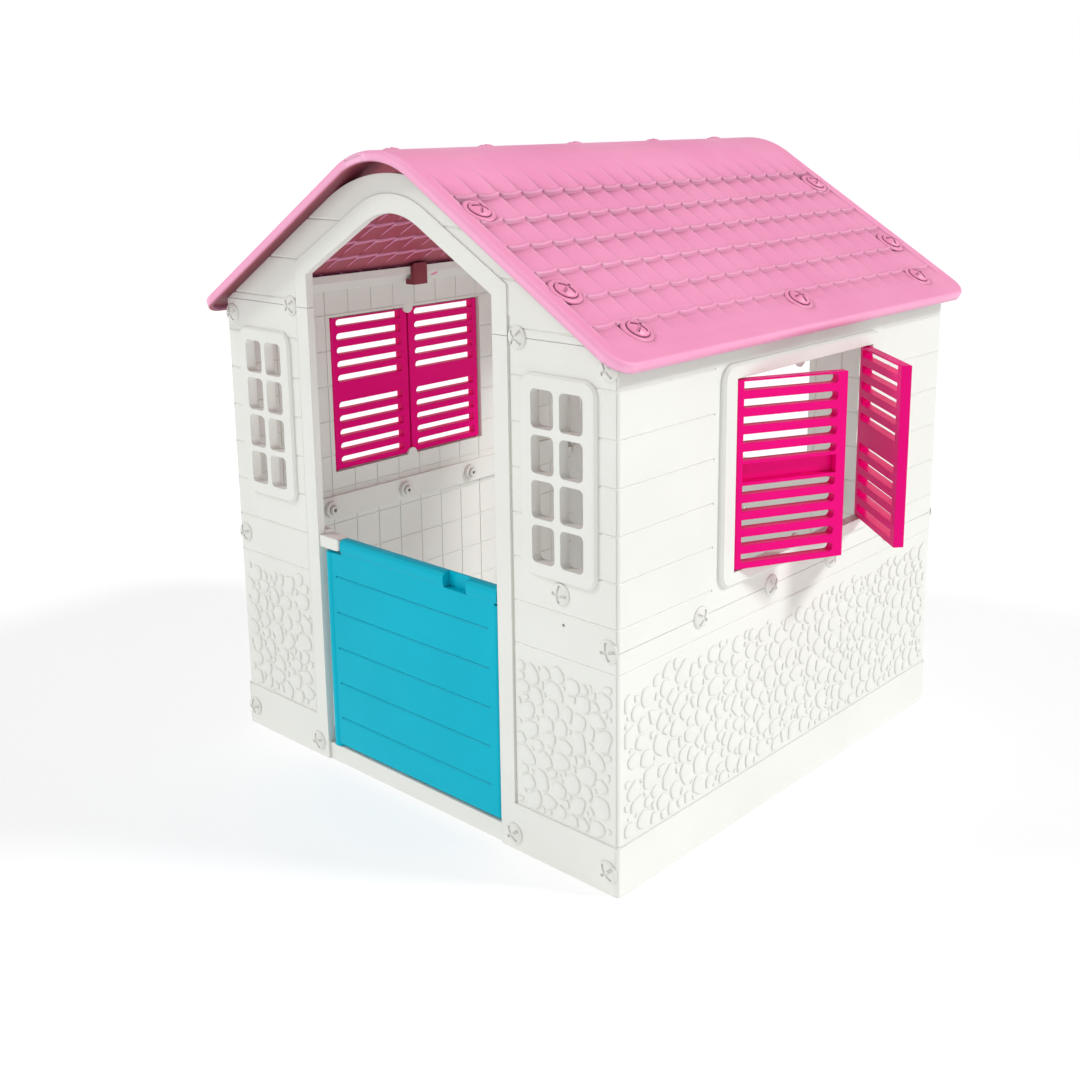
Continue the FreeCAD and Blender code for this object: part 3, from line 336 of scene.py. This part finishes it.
def stone_outline(stone, stones, width, height, rng):
    """A pebble's outline, cut back where a neighbour or the field's edge is in its way."""
    u, v, short, _, turn = stone
    outline = []
    for k in range(OUTLINE_POINTS):
        angle = turn + 2 * math.pi * k / OUTLINE_POINTS
        reach = oval_reach(stone, angle) * rng.uniform(*OUTLINE_REACH)
        outline.append((u + reach * math.cos(angle), v + reach * math.sin(angle)))
    for other in stones:
        if other is stone or abs(other[0] - u) > IN_THE_WAY or abs(other[1] - v) > IN_THE_WAY:
            continue
        gap, angle, near, far = apart(stone, other)
        share = gap * near / (near + far) - STONE_GAP / 2
        nx, ny = math.cos(angle), math.sin(angle)
        outline = clip(outline, nx, ny, nx * u + ny * v + share)
    for nx, ny, limit in ((1, 0, width), (-1, 0, 0), (0, 1, height), (0, -1, 0)):
        outline = clip(outline, nx, ny, limit)
    if len(outline) < 3:
        return None
    outline = rounded(outline)
    return rounded(outline) if short > SMALL_STONE else outline


def add_stone(bm, outline, rise, place):
    """A flat-topped pebble with a rounded edge; place turns (u, v, height) into a point."""
    mid_u = sum(p[0] for p in outline) / len(outline)
    mid_v = sum(p[1] for p in outline) / len(outline)
    rings = []
    for inset, level in STONE_RINGS:
        ring = []
        for u, v in outline:
            reach = math.hypot(u - mid_u, v - mid_v)
            keep = 1 - min(inset * MM, MOST_INSET * reach) / reach
            ring.append(bm.verts.new(place(mid_u + (u - mid_u) * keep, mid_v + (v - mid_v) * keep,
                                           level * rise)))
        rings.append(ring)
    count = len(outline)
    for outer, inner in zip(rings, rings[1:]):
        for k in range(count):
            after = (k + 1) % count
            bm.faces.new((outer[k], outer[after], inner[after], inner[k]))
    bm.faces.new(rings[-1])
    bm.faces.new(rings[0][::-1])


def stonework(name, u0, u1, to_world, seed):
    """Raised stones on one wall between two places along it, from the plinth up."""
    rng = random.Random(seed)
    foot = PLINTH_H + OVER_PLINTH
    height = BOARD_FOOT - UNDER_BOARDS - foot
    stones = scatter_stones(u1 - u0, height, rng)
    bm = bmesh.new()

    def place(u, v, rise):
        return to_world(u0 + u, foot + v, rise)

    for stone in stones:
        outline = stone_outline(stone, stones, u1 - u0, height, rng)
        if outline:
            add_stone(bm, outline, STONE_RISE * min(1.0, LOW_RISE + stone[2] / RISE_SIZE), place)
    new_piece(name, bm, STONE, "house")


def make_stonework():
    """One piece of stonework for each wall that has it."""
    front = Y_FRONT + FIELD_SET
    back = Y_BACK - FIELD_SET
    side = X_SIDE - FIELD_SET
    corner = X_SIDE - FROM_CORNER
    in_front = DOORWAY_X + JAMB_BAND + FROM_JAMB
    at_back = BACK_OPENING_X + JAMB_BAND + FROM_JAMB
    half_wall = BACK_OPENING_X - FROM_OPENING
    ends = (Y_FRONT + FROM_END, Y_BACK - FROM_END)

    def on_front(u, v, h):
        return Vector((u, front - h, v))

    def on_back(u, v, h):
        return Vector((u, back + h, v))

    def on_right(u, v, h):
        return Vector((side + h, u, v))

    def on_left(u, v, h):
        return Vector((-side - h, u, v))

    stonework("front_left_stonework", -corner, -in_front, on_front, 11)
    stonework("front_right_stonework", in_front, corner, on_front, 12)
    stonework("back_left_stonework", -corner, -at_back, on_back, 13)
    stonework("back_right_stonework", at_back, corner, on_back, 14)
    stonework("back_middle_stonework", -half_wall, half_wall, on_back, 15)
    stonework("right_stonework", *ends, on_right, 16)
    stonework("left_stonework", *ends, on_left, 17)


# ---- tiled roof -----------------------------------------------------------------------------------
RIDGE_Z = ROOF_HIGH.z - RIDGE_R                   # centre line of the rounded ridge
BEND = RIDGE_R * ROOF_PITCH                       # from the ridge's top to the straight slope
EAVE = BEND + (ROOF_HIGH.x - RIDGE_R * math.sin(ROOF_PITCH)) / math.cos(ROOF_PITCH)
ROOF_CORNER_R = 38 * MM                           # of the eave's corners, seen from above
RIM_ROUND = 5 * MM                                # of the rim's upper edge
RIM_BORDER = 21 * MM                              # nothing but the plain rim is nearer the edge
SHEET_T = 10 * MM
RIM_T = 16 * MM                                   # how deep the rim is, and how wide at its foot
RIM_FOOT = 7 * MM
FOOT_EASE, FOOT_ROUND = 1.5 * MM, 1.6 * MM        # the rim's rounded lower edge
LAP_FROM = -RIDGE_R * math.radians(22)            # right panel's edge, left of the ridge
LAP_TO = -RIDGE_R * math.radians(8)               # left panel's edge, under it
LAP_T = 5 * MM
LAP_EASE = 0.4 * MM                               # open joint beside the lap
LAP_GAP = 0.2 * MM                                # and under it
END_EASE = 1.5 * MM                               # the panels' upper ends are eased this far
END_SLOPE = 0.5
LINE_PAIR = 0.05 * MM                             # two mesh lines this close make a step
ROW_FIRST = 160 * MM                              # lower edges of the tile rows, from the ridge
ROW_PITCH = 60 * MM
ROWS = 6
FIELD_START = 92 * MM                             # tiles swell out of the smooth ridge from here
FIELD_RIM = 25 * MM                               # smooth border round the tiles
FIELD_EASE = 2.2 * MM                             # the relief begins over this width
HANG_EASE = 6 * MM                                # and the scallops over this
WALL_REACH = 55 * MM                              # walls touch the underside within this border
TILES = 20
SCALLOP = 4 * MM                                  # how far a tile's middle hangs below its row
SCALLOP_CURVE = 0.7
WALL_EASE = 25 * MM                               # the sheet thins over this width inside it
THINNED = 6 * MM                                  # and is then this much thinner, under the tiles
COLLAR_R = 21 * MM                                # smooth ring round each roof bolt
PAD_EASE = 6 * MM
PAD_DEPTH = 3.2 * MM
# The collar's section as (radius, depth) in mm, and the mesh lines within a row (in rows), across
# a tile (in tiles) and in from the rim (in mm).
COLLAR = ((17.4, 4.0), (17.4, 0.8), (18.0, 0.2), (19.5, 0.0), (21.5, 0.1), (24.0, 0.8), (28.0, 4.0))
ROW_STEPS = (0.05, 0.09, 0.16, 0.28, 0.42, 0.56, 0.70, 0.82, 0.90, 0.925, 0.955, 0.98, 1.0)
TILE_STEPS = (0.0, 0.035, 0.11, 0.22, 0.36, 0.52, 0.70, 0.86, 0.965)
RIM_STEPS = (0.0, 0.4, 1.0, 1.8, 3.0, 5.0, 6.4, 7.6, 11.0, 16.0, 21.0, 23.5, 25.0)
LIP_LINES = (5, 4.2, 3.4, 2.5, 1.2, 0)            # mm above the first row's edge
RIDGE_LINES = 14                                  # from the top to the start of the tiles
SWELL_LINES = 12                                  # and from there to the first row's edge
FIRST_LINE = 8 * MM                               # below a panel's upper end
SWELL_END = 6 * MM                                # the last of the swell's lines, above that edge
# The tiles' relief in mm below the rim's level. Places within a tile or row are shares of it.
DEEPEST = 7.6 * MM
TILE_LEVEL = 1.4
LIP = 1.2                                         # raised edge at a row's foot
SINK = 2.2                                        # upper end of a tile, under the row above
HOLLOW = 5.0                                      # upper front corner of a tile
HOLLOW_FOOT = 0.12                                # share of the hollow that is left at its foot
HOLLOW_WIDTH, HOLLOW_CURVE = 0.95, 1.5
TILE_EDGE = 0.03                                  # the step down from one tile to the next
SINK_CURVE = 1.1
LIP_FROM, LIP_TO = 0.91, 0.955
CREST, CREST_END = 0.2, 0.004                     # at the very edge of a row
SWELL_TO = 10 * MM                                # ends and lip of the ridge's own tiles, above
RIDGE_LIP_FROM, RIDGE_LIP_TO = 5 * MM, 2.5 * MM   # the first row's edge
ROW_FADE = 0.11                                   # each row down is this much flatter
EAVE_FADE = 0.75                                  # the relief fades by this share at the eave
FADE_FROM, FADE_TO = 62 * MM, 55 * MM             # where it does, from the eave
SCALLOP_GONE = 32 * MM


def roof_point(s, depth):
    """A point of the right-hand slope, s from the ridge's top along it, this deep in it."""
    if s <= BEND:
        turn = s / RIDGE_R
        radius = RIDGE_R - depth
        return radius * math.sin(turn), RIDGE_Z + radius * math.cos(turn)
    across, up = math.cos(ROOF_PITCH), math.sin(ROOF_PITCH)
    x = (RIDGE_R - depth) * up + (s - BEND) * across
    z = RIDGE_Z + (RIDGE_R - depth) * across - (s - BEND) * up
    return x, z


def along_roof(point):
    """How far a point near the right-hand slope is from the ridge's top, along the slope."""
    across, up = math.cos(ROOF_PITCH), math.sin(ROOF_PITCH)
    return BEND + (point.x - RIDGE_R * up) * across - (point.z - RIDGE_Z - RIDGE_R * across) * up


def loose_parts(node):
    """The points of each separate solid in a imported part, in order of place."""
    bm = bmesh.new()
    bm.from_mesh(frame["nodes"][node].data)
    bmesh.ops.remove_doubles(bm, verts=bm.verts, dist=0.001 * MM)
    parts = []
    left = set(bm.verts)
    while left:
        island = [left.pop()]
        for vert in island:
            for link in vert.link_edges:
                other = link.other_vert(vert)
                if other in left:
                    left.discard(other)
                    island.append(other)
        parts.append([vert.co.copy() for vert in island])
    bm.free()
    return sorted(parts, key=lambda part: [min(p[k] for p in part) for k in range(3)])


def along(points, way):
    """The least and greatest reach of points in a direction."""
    reaches = [p.dot(way) for p in points]
    return min(reaches), max(reaches)


def end_middle(points, out):
    """Middle of the outer end of a solid that is round about the direction out, and its length."""
    across = out.orthogonal().normalized()
    up = out.cross(across)
    low, high = along(points, out)
    middle = out * high + across * sum(along(points, across)) / 2 + up * sum(along(points, up)) / 2
    return middle, high - low


def slope_out(side):
    """The direction straight out of a slope."""
    return Vector((side * math.sin(ROOF_PITCH), 0, math.cos(ROOF_PITCH)))


def bolt_spots(node, side):
    """Where each bolt of a group passes through a slope: (s, y)."""
    spots = []
    for points in loose_parts(node):
        middle, _ = end_middle(points, slope_out(side))
        middle.x *= side
        spots.append((along_roof(middle), middle.y))
    return spots


def tile_relief(s, y, y0, y1):
    """Depth of the tiles' relief below the rim's level: a tile is low at its upper front corner,
    rises away from there and ends in a raised lip."""
    phase = ((y - y0) / ((y1 - y0) / TILES)) % 1.0
    hollow = max(0.0, 1 - phase / HOLLOW_WIDTH) ** HOLLOW_CURVE * smooth(0.0, TILE_EDGE, phase)
    if s < ROW_FIRST:
        grown = smooth(FIELD_START, ROW_FIRST - SWELL_TO, s)
        lip = smooth(ROW_FIRST - RIDGE_LIP_FROM, ROW_FIRST - RIDGE_LIP_TO, s)
        return (TILE_LEVEL * grown + HOLLOW * hollow * grown * (1 - 0.5 * lip) - LIP * lip) * MM
    row = min(int((s - ROW_FIRST) / ROW_PITCH), ROWS - 1)
    t = min(1.0, (s - ROW_FIRST) / ROW_PITCH - row)
    if t < CREST_END:
        return CREST * MM
    strength = 1.0 - ROW_FADE * row
    sunk = (1 - t) ** SINK_CURVE
    dip = HOLLOW * hollow * (HOLLOW_FOOT + (1 - HOLLOW_FOOT) * sunk)
    depth = TILE_LEVEL + strength * (SINK * sunk + dip)
    return min(DEEPEST, depth * MM - LIP * MM * smooth(LIP_FROM, LIP_TO, t))


def scallop(s, y, y0, y1):
    """How far a tile's lower edge hangs below its row's line."""
    phase = ((y - y0) / ((y1 - y0) / TILES)) % 1.0
    begun = smooth(ROW_FIRST - 30 * MM, ROW_FIRST, s)
    ended = smooth(EAVE - FADE_FROM, EAVE - SCALLOP_GONE, s)
    return SCALLOP * begun * (1 - ended) * math.sin(math.pi * phase) ** SCALLOP_CURVE


def roof_rows(start):
    """Places along the slope at which the roof's mesh has its lines."""
    rows = [start, start + 0.4 * END_EASE, start + END_EASE]
    first = start + FIRST_LINE
    swell = ROW_FIRST - SWELL_END - FIELD_START
    rows += [first + (FIELD_START - first) * k / RIDGE_LINES for k in range(RIDGE_LINES)]
    rows += [FIELD_START + swell * k / SWELL_LINES for k in range(SWELL_LINES)]
    lap_end = LAP_TO if start < 0 else -LAP_FROM + LAP_EASE
    rows += [lap_end - LINE_PAIR, lap_end + LINE_PAIR]
    rows += [ROW_FIRST - step * MM for step in LIP_LINES]
    for row in range(ROWS):
        for step in ROW_STEPS:
            s = ROW_FIRST + (row + step) * ROW_PITCH
            if s < EAVE - RIM_STEPS[-1] * MM - MM:
                rows.append(s)
    rows += [EAVE - rim * MM for rim in RIM_STEPS[::-1]]
    return sorted(rows)


def roof_columns(y0, y1):
    """Places along the ridge at which the roof's mesh has its lines."""
    inner0, inner1 = y0 + FIELD_RIM, y1 - FIELD_RIM
    pitch = (inner1 - inner0) / TILES
    columns = [y0 + rim * MM for rim in RIM_STEPS[:-1]]
    for tile in range(TILES):
        columns += [inner0 + (tile + step) * pitch for step in TILE_STEPS]
    return columns + [y1 - rim * MM for rim in RIM_STEPS[::-1]]


def eased_corner(s, y, y0, y1):
    """Move a mesh point so that the eave's corners are round; returns it and its edge distance."""
    inner_s = EAVE - ROOF_CORNER_R
    a = s - inner_s
    middle = (y0 + y1) / 2
    way = 1 if y > middle else -1
    b = abs(y - middle) - ((y1 - y0) / 2 - ROOF_CORNER_R)
    if a <= 0 or b <= 0:
        return s, y, min(EAVE - s, y - y0, y1 - y)
    most = max(a, b)
    length = math.hypot(a, b)
    s = inner_s + most * a / length
    y = middle + way * ((y1 - y0) / 2 - ROOF_CORNER_R + most * b / length)
    return s, y, ROOF_CORNER_R - most


def top_depth(s, y, edge, start, y0, y1, bolts):
    """Depth of the outer surface: rounded rim, smooth border, tiles, flat pads at the bolts."""
    depth = 0.0
    if edge < RIM_ROUND:
        depth = RIM_ROUND - math.sqrt(max(0.0, RIM_ROUND ** 2 - (RIM_ROUND - edge) ** 2))
    elif edge > RIM_BORDER:
        field = smooth(FIELD_RIM - FIELD_EASE, FIELD_RIM, edge)
        level = tile_relief(s, y, y0 + FIELD_RIM, y1 - FIELD_RIM)
        left = 1 - smooth(EAVE - FADE_FROM, EAVE - FADE_TO, s) * EAVE_FADE
        depth = field * level * left
        for bolt_s, bolt_y in bolts:
            away = math.hypot(s - bolt_s, y - bolt_y)
            if away < COLLAR_R:
                depth = PAD_DEPTH
            elif away < COLLAR_R + PAD_EASE:
                depth += (PAD_DEPTH - depth) * (1 - smooth(COLLAR_R, COLLAR_R + PAD_EASE, away))
    from_end = s - start
    if from_end < END_EASE:
        depth += (END_EASE - from_end) * END_SLOPE
    return depth


def under_depth(s, y, edge, start, y0, y1):
    """Depth of the inner surface: the rim's foot, then a sheet that follows the tiles."""
    if start < 0 and s < LAP_TO:
        return LAP_T
    if edge < RIM_FOOT:
        return RIM_T - FOOT_EASE * (1 - smooth(0.0, FOOT_ROUND, edge))
    thinned = smooth(WALL_REACH, WALL_REACH + WALL_EASE, edge) * smooth(FIELD_START, ROW_FIRST, s)
    relief = tile_relief(s, y, y0 + FIELD_RIM, y1 - FIELD_RIM)
    return min(SHEET_T, SHEET_T - thinned * (THINNED - relief))


def border(grid):
    """The points round a grid's edge, in order."""
    last = grid[-1]
    return grid[0] + [row[-1] for row in grid[1:]] + last[-2::-1] + [row[0] for row in grid[-2:0:-1]]


def roof_sheet(name, side, start, node, bolts):
    """One roof panel as a closed sheet with tiles outside and their underside within."""
    y0, y1 = ROOF_LOW.y, ROOF_HIGH.y
    bm = bmesh.new()
    outer, inner = [], []
    for s_line in roof_rows(start):
        top_row, under_row = [], []
        for y_line in roof_columns(y0, y1):
            s, y, edge = eased_corner(s_line, y_line, y0, y1)
            depth = top_depth(s, y, edge, start, y0, y1, bolts)
            if start > 0 and s < -LAP_FROM + LAP_EASE:
                depth = LAP_T + LAP_GAP
            under = under_depth(s, y, edge, start, y0, y1)
            hang = scallop(s, y, y0 + FIELD_RIM, y1 - FIELD_RIM)
            hang *= smooth(FIELD_RIM, FIELD_RIM + HANG_EASE, edge)
            x, z = roof_point(s + hang, depth)
            top_row.append(bm.verts.new((side * x, y, z)))
            x, z = roof_point(s + hang, under)
            under_row.append(bm.verts.new((side * x, y, z)))
        outer.append(top_row)
        inner.append(under_row)
    for grid in (outer, inner):
        for row, following in zip(grid, grid[1:]):
            for k in range(len(row) - 1):
                bm.faces.new((row[k], row[k + 1], following[k + 1], following[k]))
    top, low = border(outer), border(inner)
    for k in range(len(top)):
        after = (k + 1) % len(top)
        bm.faces.new((top[k], top[after], low[after], low[k]))
    new_piece(name, bm, ROOF, "house", (node,))


RING_POINTS = 48


def turned_ring(bm, middle, across, up, out, profile):
    """A closed ring swept round an axis; the profile is (radius, depth) in mm."""
    loops = []
    for k in range(RING_POINTS):
        angle = 2 * math.pi * k / RING_POINTS
        spoke = across * math.cos(angle) + up * math.sin(angle)
        loops.append([bm.verts.new(middle + spoke * (r * MM) - out * (d * MM)) for r, d in profile])
    for k, loop in enumerate(loops):
        after = loops[(k + 1) % len(loops)]
        for j in range(len(profile)):
            n = (j + 1) % len(profile)
            bm.faces.new((loop[j], loop[n], after[n], after[j]))


def bolt_collars(name, side, bolts):
    """The smooth ring moulded round each bolt of a slope."""
    bm = bmesh.new()
    down = Vector((side * math.cos(ROOF_PITCH), 0, -math.sin(ROOF_PITCH)))
    out = slope_out(side)
    for s, y in bolts:
        x, z = roof_point(s, 0)
        turned_ring(bm, Vector((side * x, y, z)), down, Vector((0, 1, 0)), out, COLLAR)
    new_piece(name, bm, ROOF_COLLAR, "house")


def make_roof():
    """Both roof panels, with a collar round each bolt."""
    right_bolts = bolt_spots("roof_right_bolts", 1)
    left_bolts = bolt_spots("roof_left_bolts", -1)
    bolt_collars("roof_right_collars", 1, right_bolts)
    bolt_collars("roof_left_collars", -1, left_bolts)
    roof_sheet("roof_right_tiles", 1, LAP_FROM, "roof_right_panel", right_bolts)
    roof_sheet("roof_left_tiles", -1, -LAP_TO, "roof_left_panel", left_bolts)


# ---- nuts -----------------------------------------------------------------------------------------
# The tube's section as (radius, depth in the nut) in mm.
TUBE = ((8.5, 1.0), (8.3, -5.5), (7.6, -6.5), (4.2, -6.5), (3.6, -6.0), (3.6, 1.0))
NUT_GROUPS = {"front_nuts": Vector((0, 1, 0)), "back_nuts": Vector((0, -1, 0)),
              "left_seam_nuts": Vector((1, 0, 0)), "right_seam_nuts": Vector((-1, 0, 0))}


def nut_tubes():
    """The short tube that stands on each nut, on the house's inside."""
    for node, out in NUT_GROUPS.items():
        bm = bmesh.new()
        for points in loose_parts(node):
            face, _ = end_middle(points, out)
            turned_ring(bm, face, Vector((0, 0, 1)).cross(out), Vector((0, 0, 1)), out, TUBE)
        new_piece(node + "_tubes", bm, BOLT, "house")


# ---- bolts ----------------------------------------------------------------------------------------
HEAD_R = 17.0                # mm, as are the rest
HEAD_H = 7.0
HEAD_EDGE = 1.5
SHANK_R = 7.5
CROSS_FLOOR = 1.7            # half the width of a slot's floor, and of its mouth
CROSS_MOUTH = 2.3
CROSS_WIDEST = 0.68, 0.70    # sine of the half angle of each, at most
CROSS_DEPTH = 2.1
CROSS_REACH = 12.6
CROSS_RINGS = (2.6, 3.5, 5.0, 7.0, 9.0, 11.0, 12.2, 13.4)     # radii of the mesh's rings
DOME_RINGS = (14.6, 15.6, 16.3)
EDGE_RINGS = ((16.75, 1.35), (HEAD_R, 0.7), (HEAD_R, 0.0), (SHANK_R, 0.0))    # radius, height
BETWEEN_ARMS = 5             # mesh points between two arms of the cross
SHARP = math.radians(35)     # edges sharper than this aren't smoothed
BOLT_SEED = 5
RIDGE_BOLT_TURN = math.radians(-15)
BOLT_GROUPS = {"front_bolts": Vector((0, -1, 0)), "back_bolts": Vector((0, 1, 0)),
               "left_seam_bolts": Vector((-1, 0, 0)), "right_seam_bolts": Vector((1, 0, 0)),
               "roof_right_bolts": slope_out(1), "roof_left_bolts": slope_out(-1),
               "ridge_bolts": Vector((math.sin(RIDGE_BOLT_TURN), 0, math.cos(RIDGE_BOLT_TURN)))}


def dome_height(radius):
    """Height of the domed head over its seat."""
    rise = HEAD_H - HEAD_EDGE
    ball = (HEAD_R ** 2 + rise ** 2) / (2 * rise)
    return HEAD_H - ball + math.sqrt(ball ** 2 - radius ** 2)


def cross_angles(radius):
    """Angles of a ring's points, each with 1 where it is on a slot's floor."""
    floor_most, mouth_most = CROSS_WIDEST
    inner = math.asin(min(CROSS_FLOOR / radius, floor_most))
    outer = max(math.asin(min(CROSS_MOUTH / radius, mouth_most)), inner + 0.01)
    angles = []
    for arm in range(4):
        ahead = arm * math.pi / 2
        angles += [(ahead - inner, 1), (ahead, 1), (ahead + inner, 1)]
        gap = math.pi / 2 - 2 * outer
        angles += [(ahead + outer + gap * k / (BETWEEN_ARMS - 1), 0) for k in range(BETWEEN_ARMS)]
    return angles


def bolt_rings():
    """Rings of (angle, radius, height over the seat) for the head's top and edge."""
    rings = []
    for radius in CROSS_RINGS + DOME_RINGS:
        ring = []
        for angle, slotted in cross_angles(radius):
            sunk = slotted or radius == CROSS_RINGS[0]
            cut = CROSS_DEPTH if sunk and radius < CROSS_REACH else 0.0
            ring.append((angle, radius, dome_height(radius) - cut))
        rings.append(ring)
    spread = [angle for angle, _ in cross_angles(HEAD_R)]
    for radius, height in EDGE_RINGS:
        rings.append([(angle, radius, height) for angle in spread])
    return rings


def add_bolt(bm, end, length, out, turn):
    """A domed bolt with a cross slot; end is the middle of its head's top."""
    across = out.orthogonal().normalized()
    up = out.cross(across)
    seat = end - out * (HEAD_H * MM)

    def point(angle, radius, height):
        spoke = across * math.cos(angle + turn) + up * math.sin(angle + turn)
        return seat + (spoke * radius + out * height) * MM

    plan = bolt_rings()
    plan.append([(angle, radius, HEAD_H - length / MM) for angle, radius, _ in plan[-1]])
    rings = [[bm.verts.new(point(*spot)) for spot in ring] for ring in plan]
    count = len(rings[0])
    for ring, following in zip(rings, rings[1:]):
        for k in range(count):
            after = (k + 1) % count
            bm.faces.new((ring[k], ring[after], following[after], following[k]))
    bm.faces.new(rings[0])
    bm.faces.new(rings[-1][::-1])


def make_bolts():
    """Each group of bolts, every bolt turned as it happened to stop."""
    rng = random.Random(BOLT_SEED)
    for node, out in BOLT_GROUPS.items():
        bm = bmesh.new()
        for points in loose_parts(node):
            end, length = end_middle(points, out)
            add_bolt(bm, end, length, out, rng.uniform(0, math.pi / 2))
        on_roof = "roof" in node or "ridge" in node
        material, slot = (ROOF_FIXING, "roof_plastic") if on_roof else (BOLT, "bolt_plastic")
        piece = new_piece(node + "_heads", bm, material, "house", (node,))
        piece.data.set_sharp_from_angle(angle=SHARP)


# ---- stage -------------------------------------------------------------------------------------------
FLOOR_SIZE = 30.0
FLOOR_DROP = 0.2 * MM        # keeps the floor clear of the plinth's underside
FLOOR_GLOW = 0.63
# Each light's name, the direction it comes from, its share of a white surface's full brightness,
# and its width in degrees.
LIGHTS = (("key", (0.66, 0.45, 0.60), 0.61, 10), ("front", (-0.50, -0.50, 0.70), 0.35, 14),
          ("fill", (0.36, -0.91, 0.2), 0.12, 50))
INSIDE_POWER = 1.2           # a soft lamp just inside the front wall, for the shaded cabin
INSIDE_SIZE = 0.3
INSIDE_PLACE = (0.33, 0.3, 0.52)
INSIDE_AIM = Vector((-1.0, 0.35, -0.1))
HORIZON = 1.0                # the surround's brightness low down and overhead, and the heights
OVERHEAD = 0.35              # between which it changes
HORIZON_Z = 0.1
OVERHEAD_Z = 0.36


def make_stage():
    """Pale plain floor, soft studio lights and a bright plain surround."""
    bm = bmesh.new()
    bmesh.ops.create_grid(bm, x_segments=4, y_segments=4, size=FLOOR_SIZE)
    mesh = bpy.data.meshes.new("floor")
    bm.to_mesh(mesh)
    bm.free()
    floor = bpy.data.objects.new("floor", mesh)
    floor.location.z = -FLOOR_DROP
    bpy.context.scene.collection.objects.link(floor)
    m = Nodes("floor_pale")
    place = m.add("ShaderNodeTexCoord").outputs["Object"]
    cloud = m.add("ShaderNodeTexNoise", {"Vector": place, "Scale": 2.0, "Detail": 3.0})
    colour = m.mix(cloud.outputs["Fac"], rgb(0.42, 0.42, 0.425), rgb(0.40, 0.40, 0.405))
    shader = m.add("ShaderNodeBsdfPrincipled", {
        "Base Color": colour, "Roughness": 0.7, "Specular IOR Level": 0.2,
        "Emission Color": rgb(1.0, 1.0, 1.0), "Emission Strength": FLOOR_GLOW})
    m.add("ShaderNodeOutputMaterial", {"Surface": shader.outputs["BSDF"]})
    mesh.materials.append(m.material)
    make_surround()
    for name, toward, share, softness in LIGHTS:
        soft_sun(name, Vector(toward), share, softness)
    inside_lamp()


def soft_sun(name, toward, share, softness):
    """A broad far light."""
    light = bpy.data.lights.new(name, "SUN")
    light.energy = share * math.pi
    light.angle = math.radians(softness)
    lamp = bpy.data.objects.new(name, light)
    lamp.rotation_euler = (-toward).to_track_quat("-Z", "Y").to_euler()
    bpy.context.scene.collection.objects.link(lamp)


def inside_lamp():
    """The soft lamp in the cabin, which the camera doesn't see."""
    light = bpy.data.lights.new("inside", "AREA")
    light.shape = "DISK"
    light.size = INSIDE_SIZE
    light.energy = INSIDE_POWER
    lamp = bpy.data.objects.new("inside", light)
    lamp.location = INSIDE_PLACE
    lamp.rotation_euler = INSIDE_AIM.to_track_quat("-Z", "Y").to_euler()
    lamp.visible_camera = False
    bpy.context.scene.collection.objects.link(lamp)


def make_surround():
    """A plain white surround, bright near the horizon and softer overhead."""
    world = bpy.data.worlds.new("surround")
    bpy.context.scene.world = world
    world.use_nodes = True
    tree = world.node_tree
    background = tree.nodes["Background"]
    background.inputs["Color"].default_value = rgb(1.0, 1.0, 1.0)
    place = tree.nodes.new("ShaderNodeTexCoord")
    parts = tree.nodes.new("ShaderNodeSeparateXYZ")
    ramp = tree.nodes.new("ShaderNodeMapRange")
    ramp.inputs["From Min"].default_value = HORIZON_Z
    ramp.inputs["From Max"].default_value = OVERHEAD_Z
    ramp.inputs["To Min"].default_value = HORIZON
    ramp.inputs["To Max"].default_value = OVERHEAD
    tree.links.new(place.outputs["Generated"], parts.inputs["Vector"])
    tree.links.new(parts.outputs["Z"], ramp.inputs["Value"])
    tree.links.new(ramp.outputs["Result"], background.inputs["Strength"])


CAMERA_PLACE = Vector((1.5282, -1.3428, 1.0794))
CAMERA_HEADING = math.radians(42.961)     # to the left of +Y
CAMERA_TILT = math.radians(12.696)        # below level
CAMERA_ROLL = math.radians(-0.701)
CAMERA_LENS = 1.250185                    # focal length over the frame's width
CAMERA_SHIFT = -0.1111


def make_camera():
    """Camera at the photograph's viewing angle."""
    data = bpy.data.cameras.new("camera")
    data.sensor_width = 36.0
    data.lens = CAMERA_LENS * data.sensor_width
    data.shift_y = CAMERA_SHIFT
    camera = bpy.data.objects.new("camera", data)
    heading = Matrix.Rotation(CAMERA_HEADING, 4, "Z")
    tilt = Matrix.Rotation(math.pi / 2 - CAMERA_TILT, 4, "X")
    roll = Matrix.Rotation(CAMERA_ROLL, 4, "Z")
    camera.matrix_world = Matrix.Translation(CAMERA_PLACE) @ heading @ tilt @ roll
    bpy.context.scene.collection.objects.link(camera)
    bpy.context.scene.camera = camera


make_camera()
make_stage()
dress_packed_parts()
make_stonework()
make_roof()
nut_tubes()
make_bolts()
bpy.context.scene.view_settings.view_transform = "Standard"
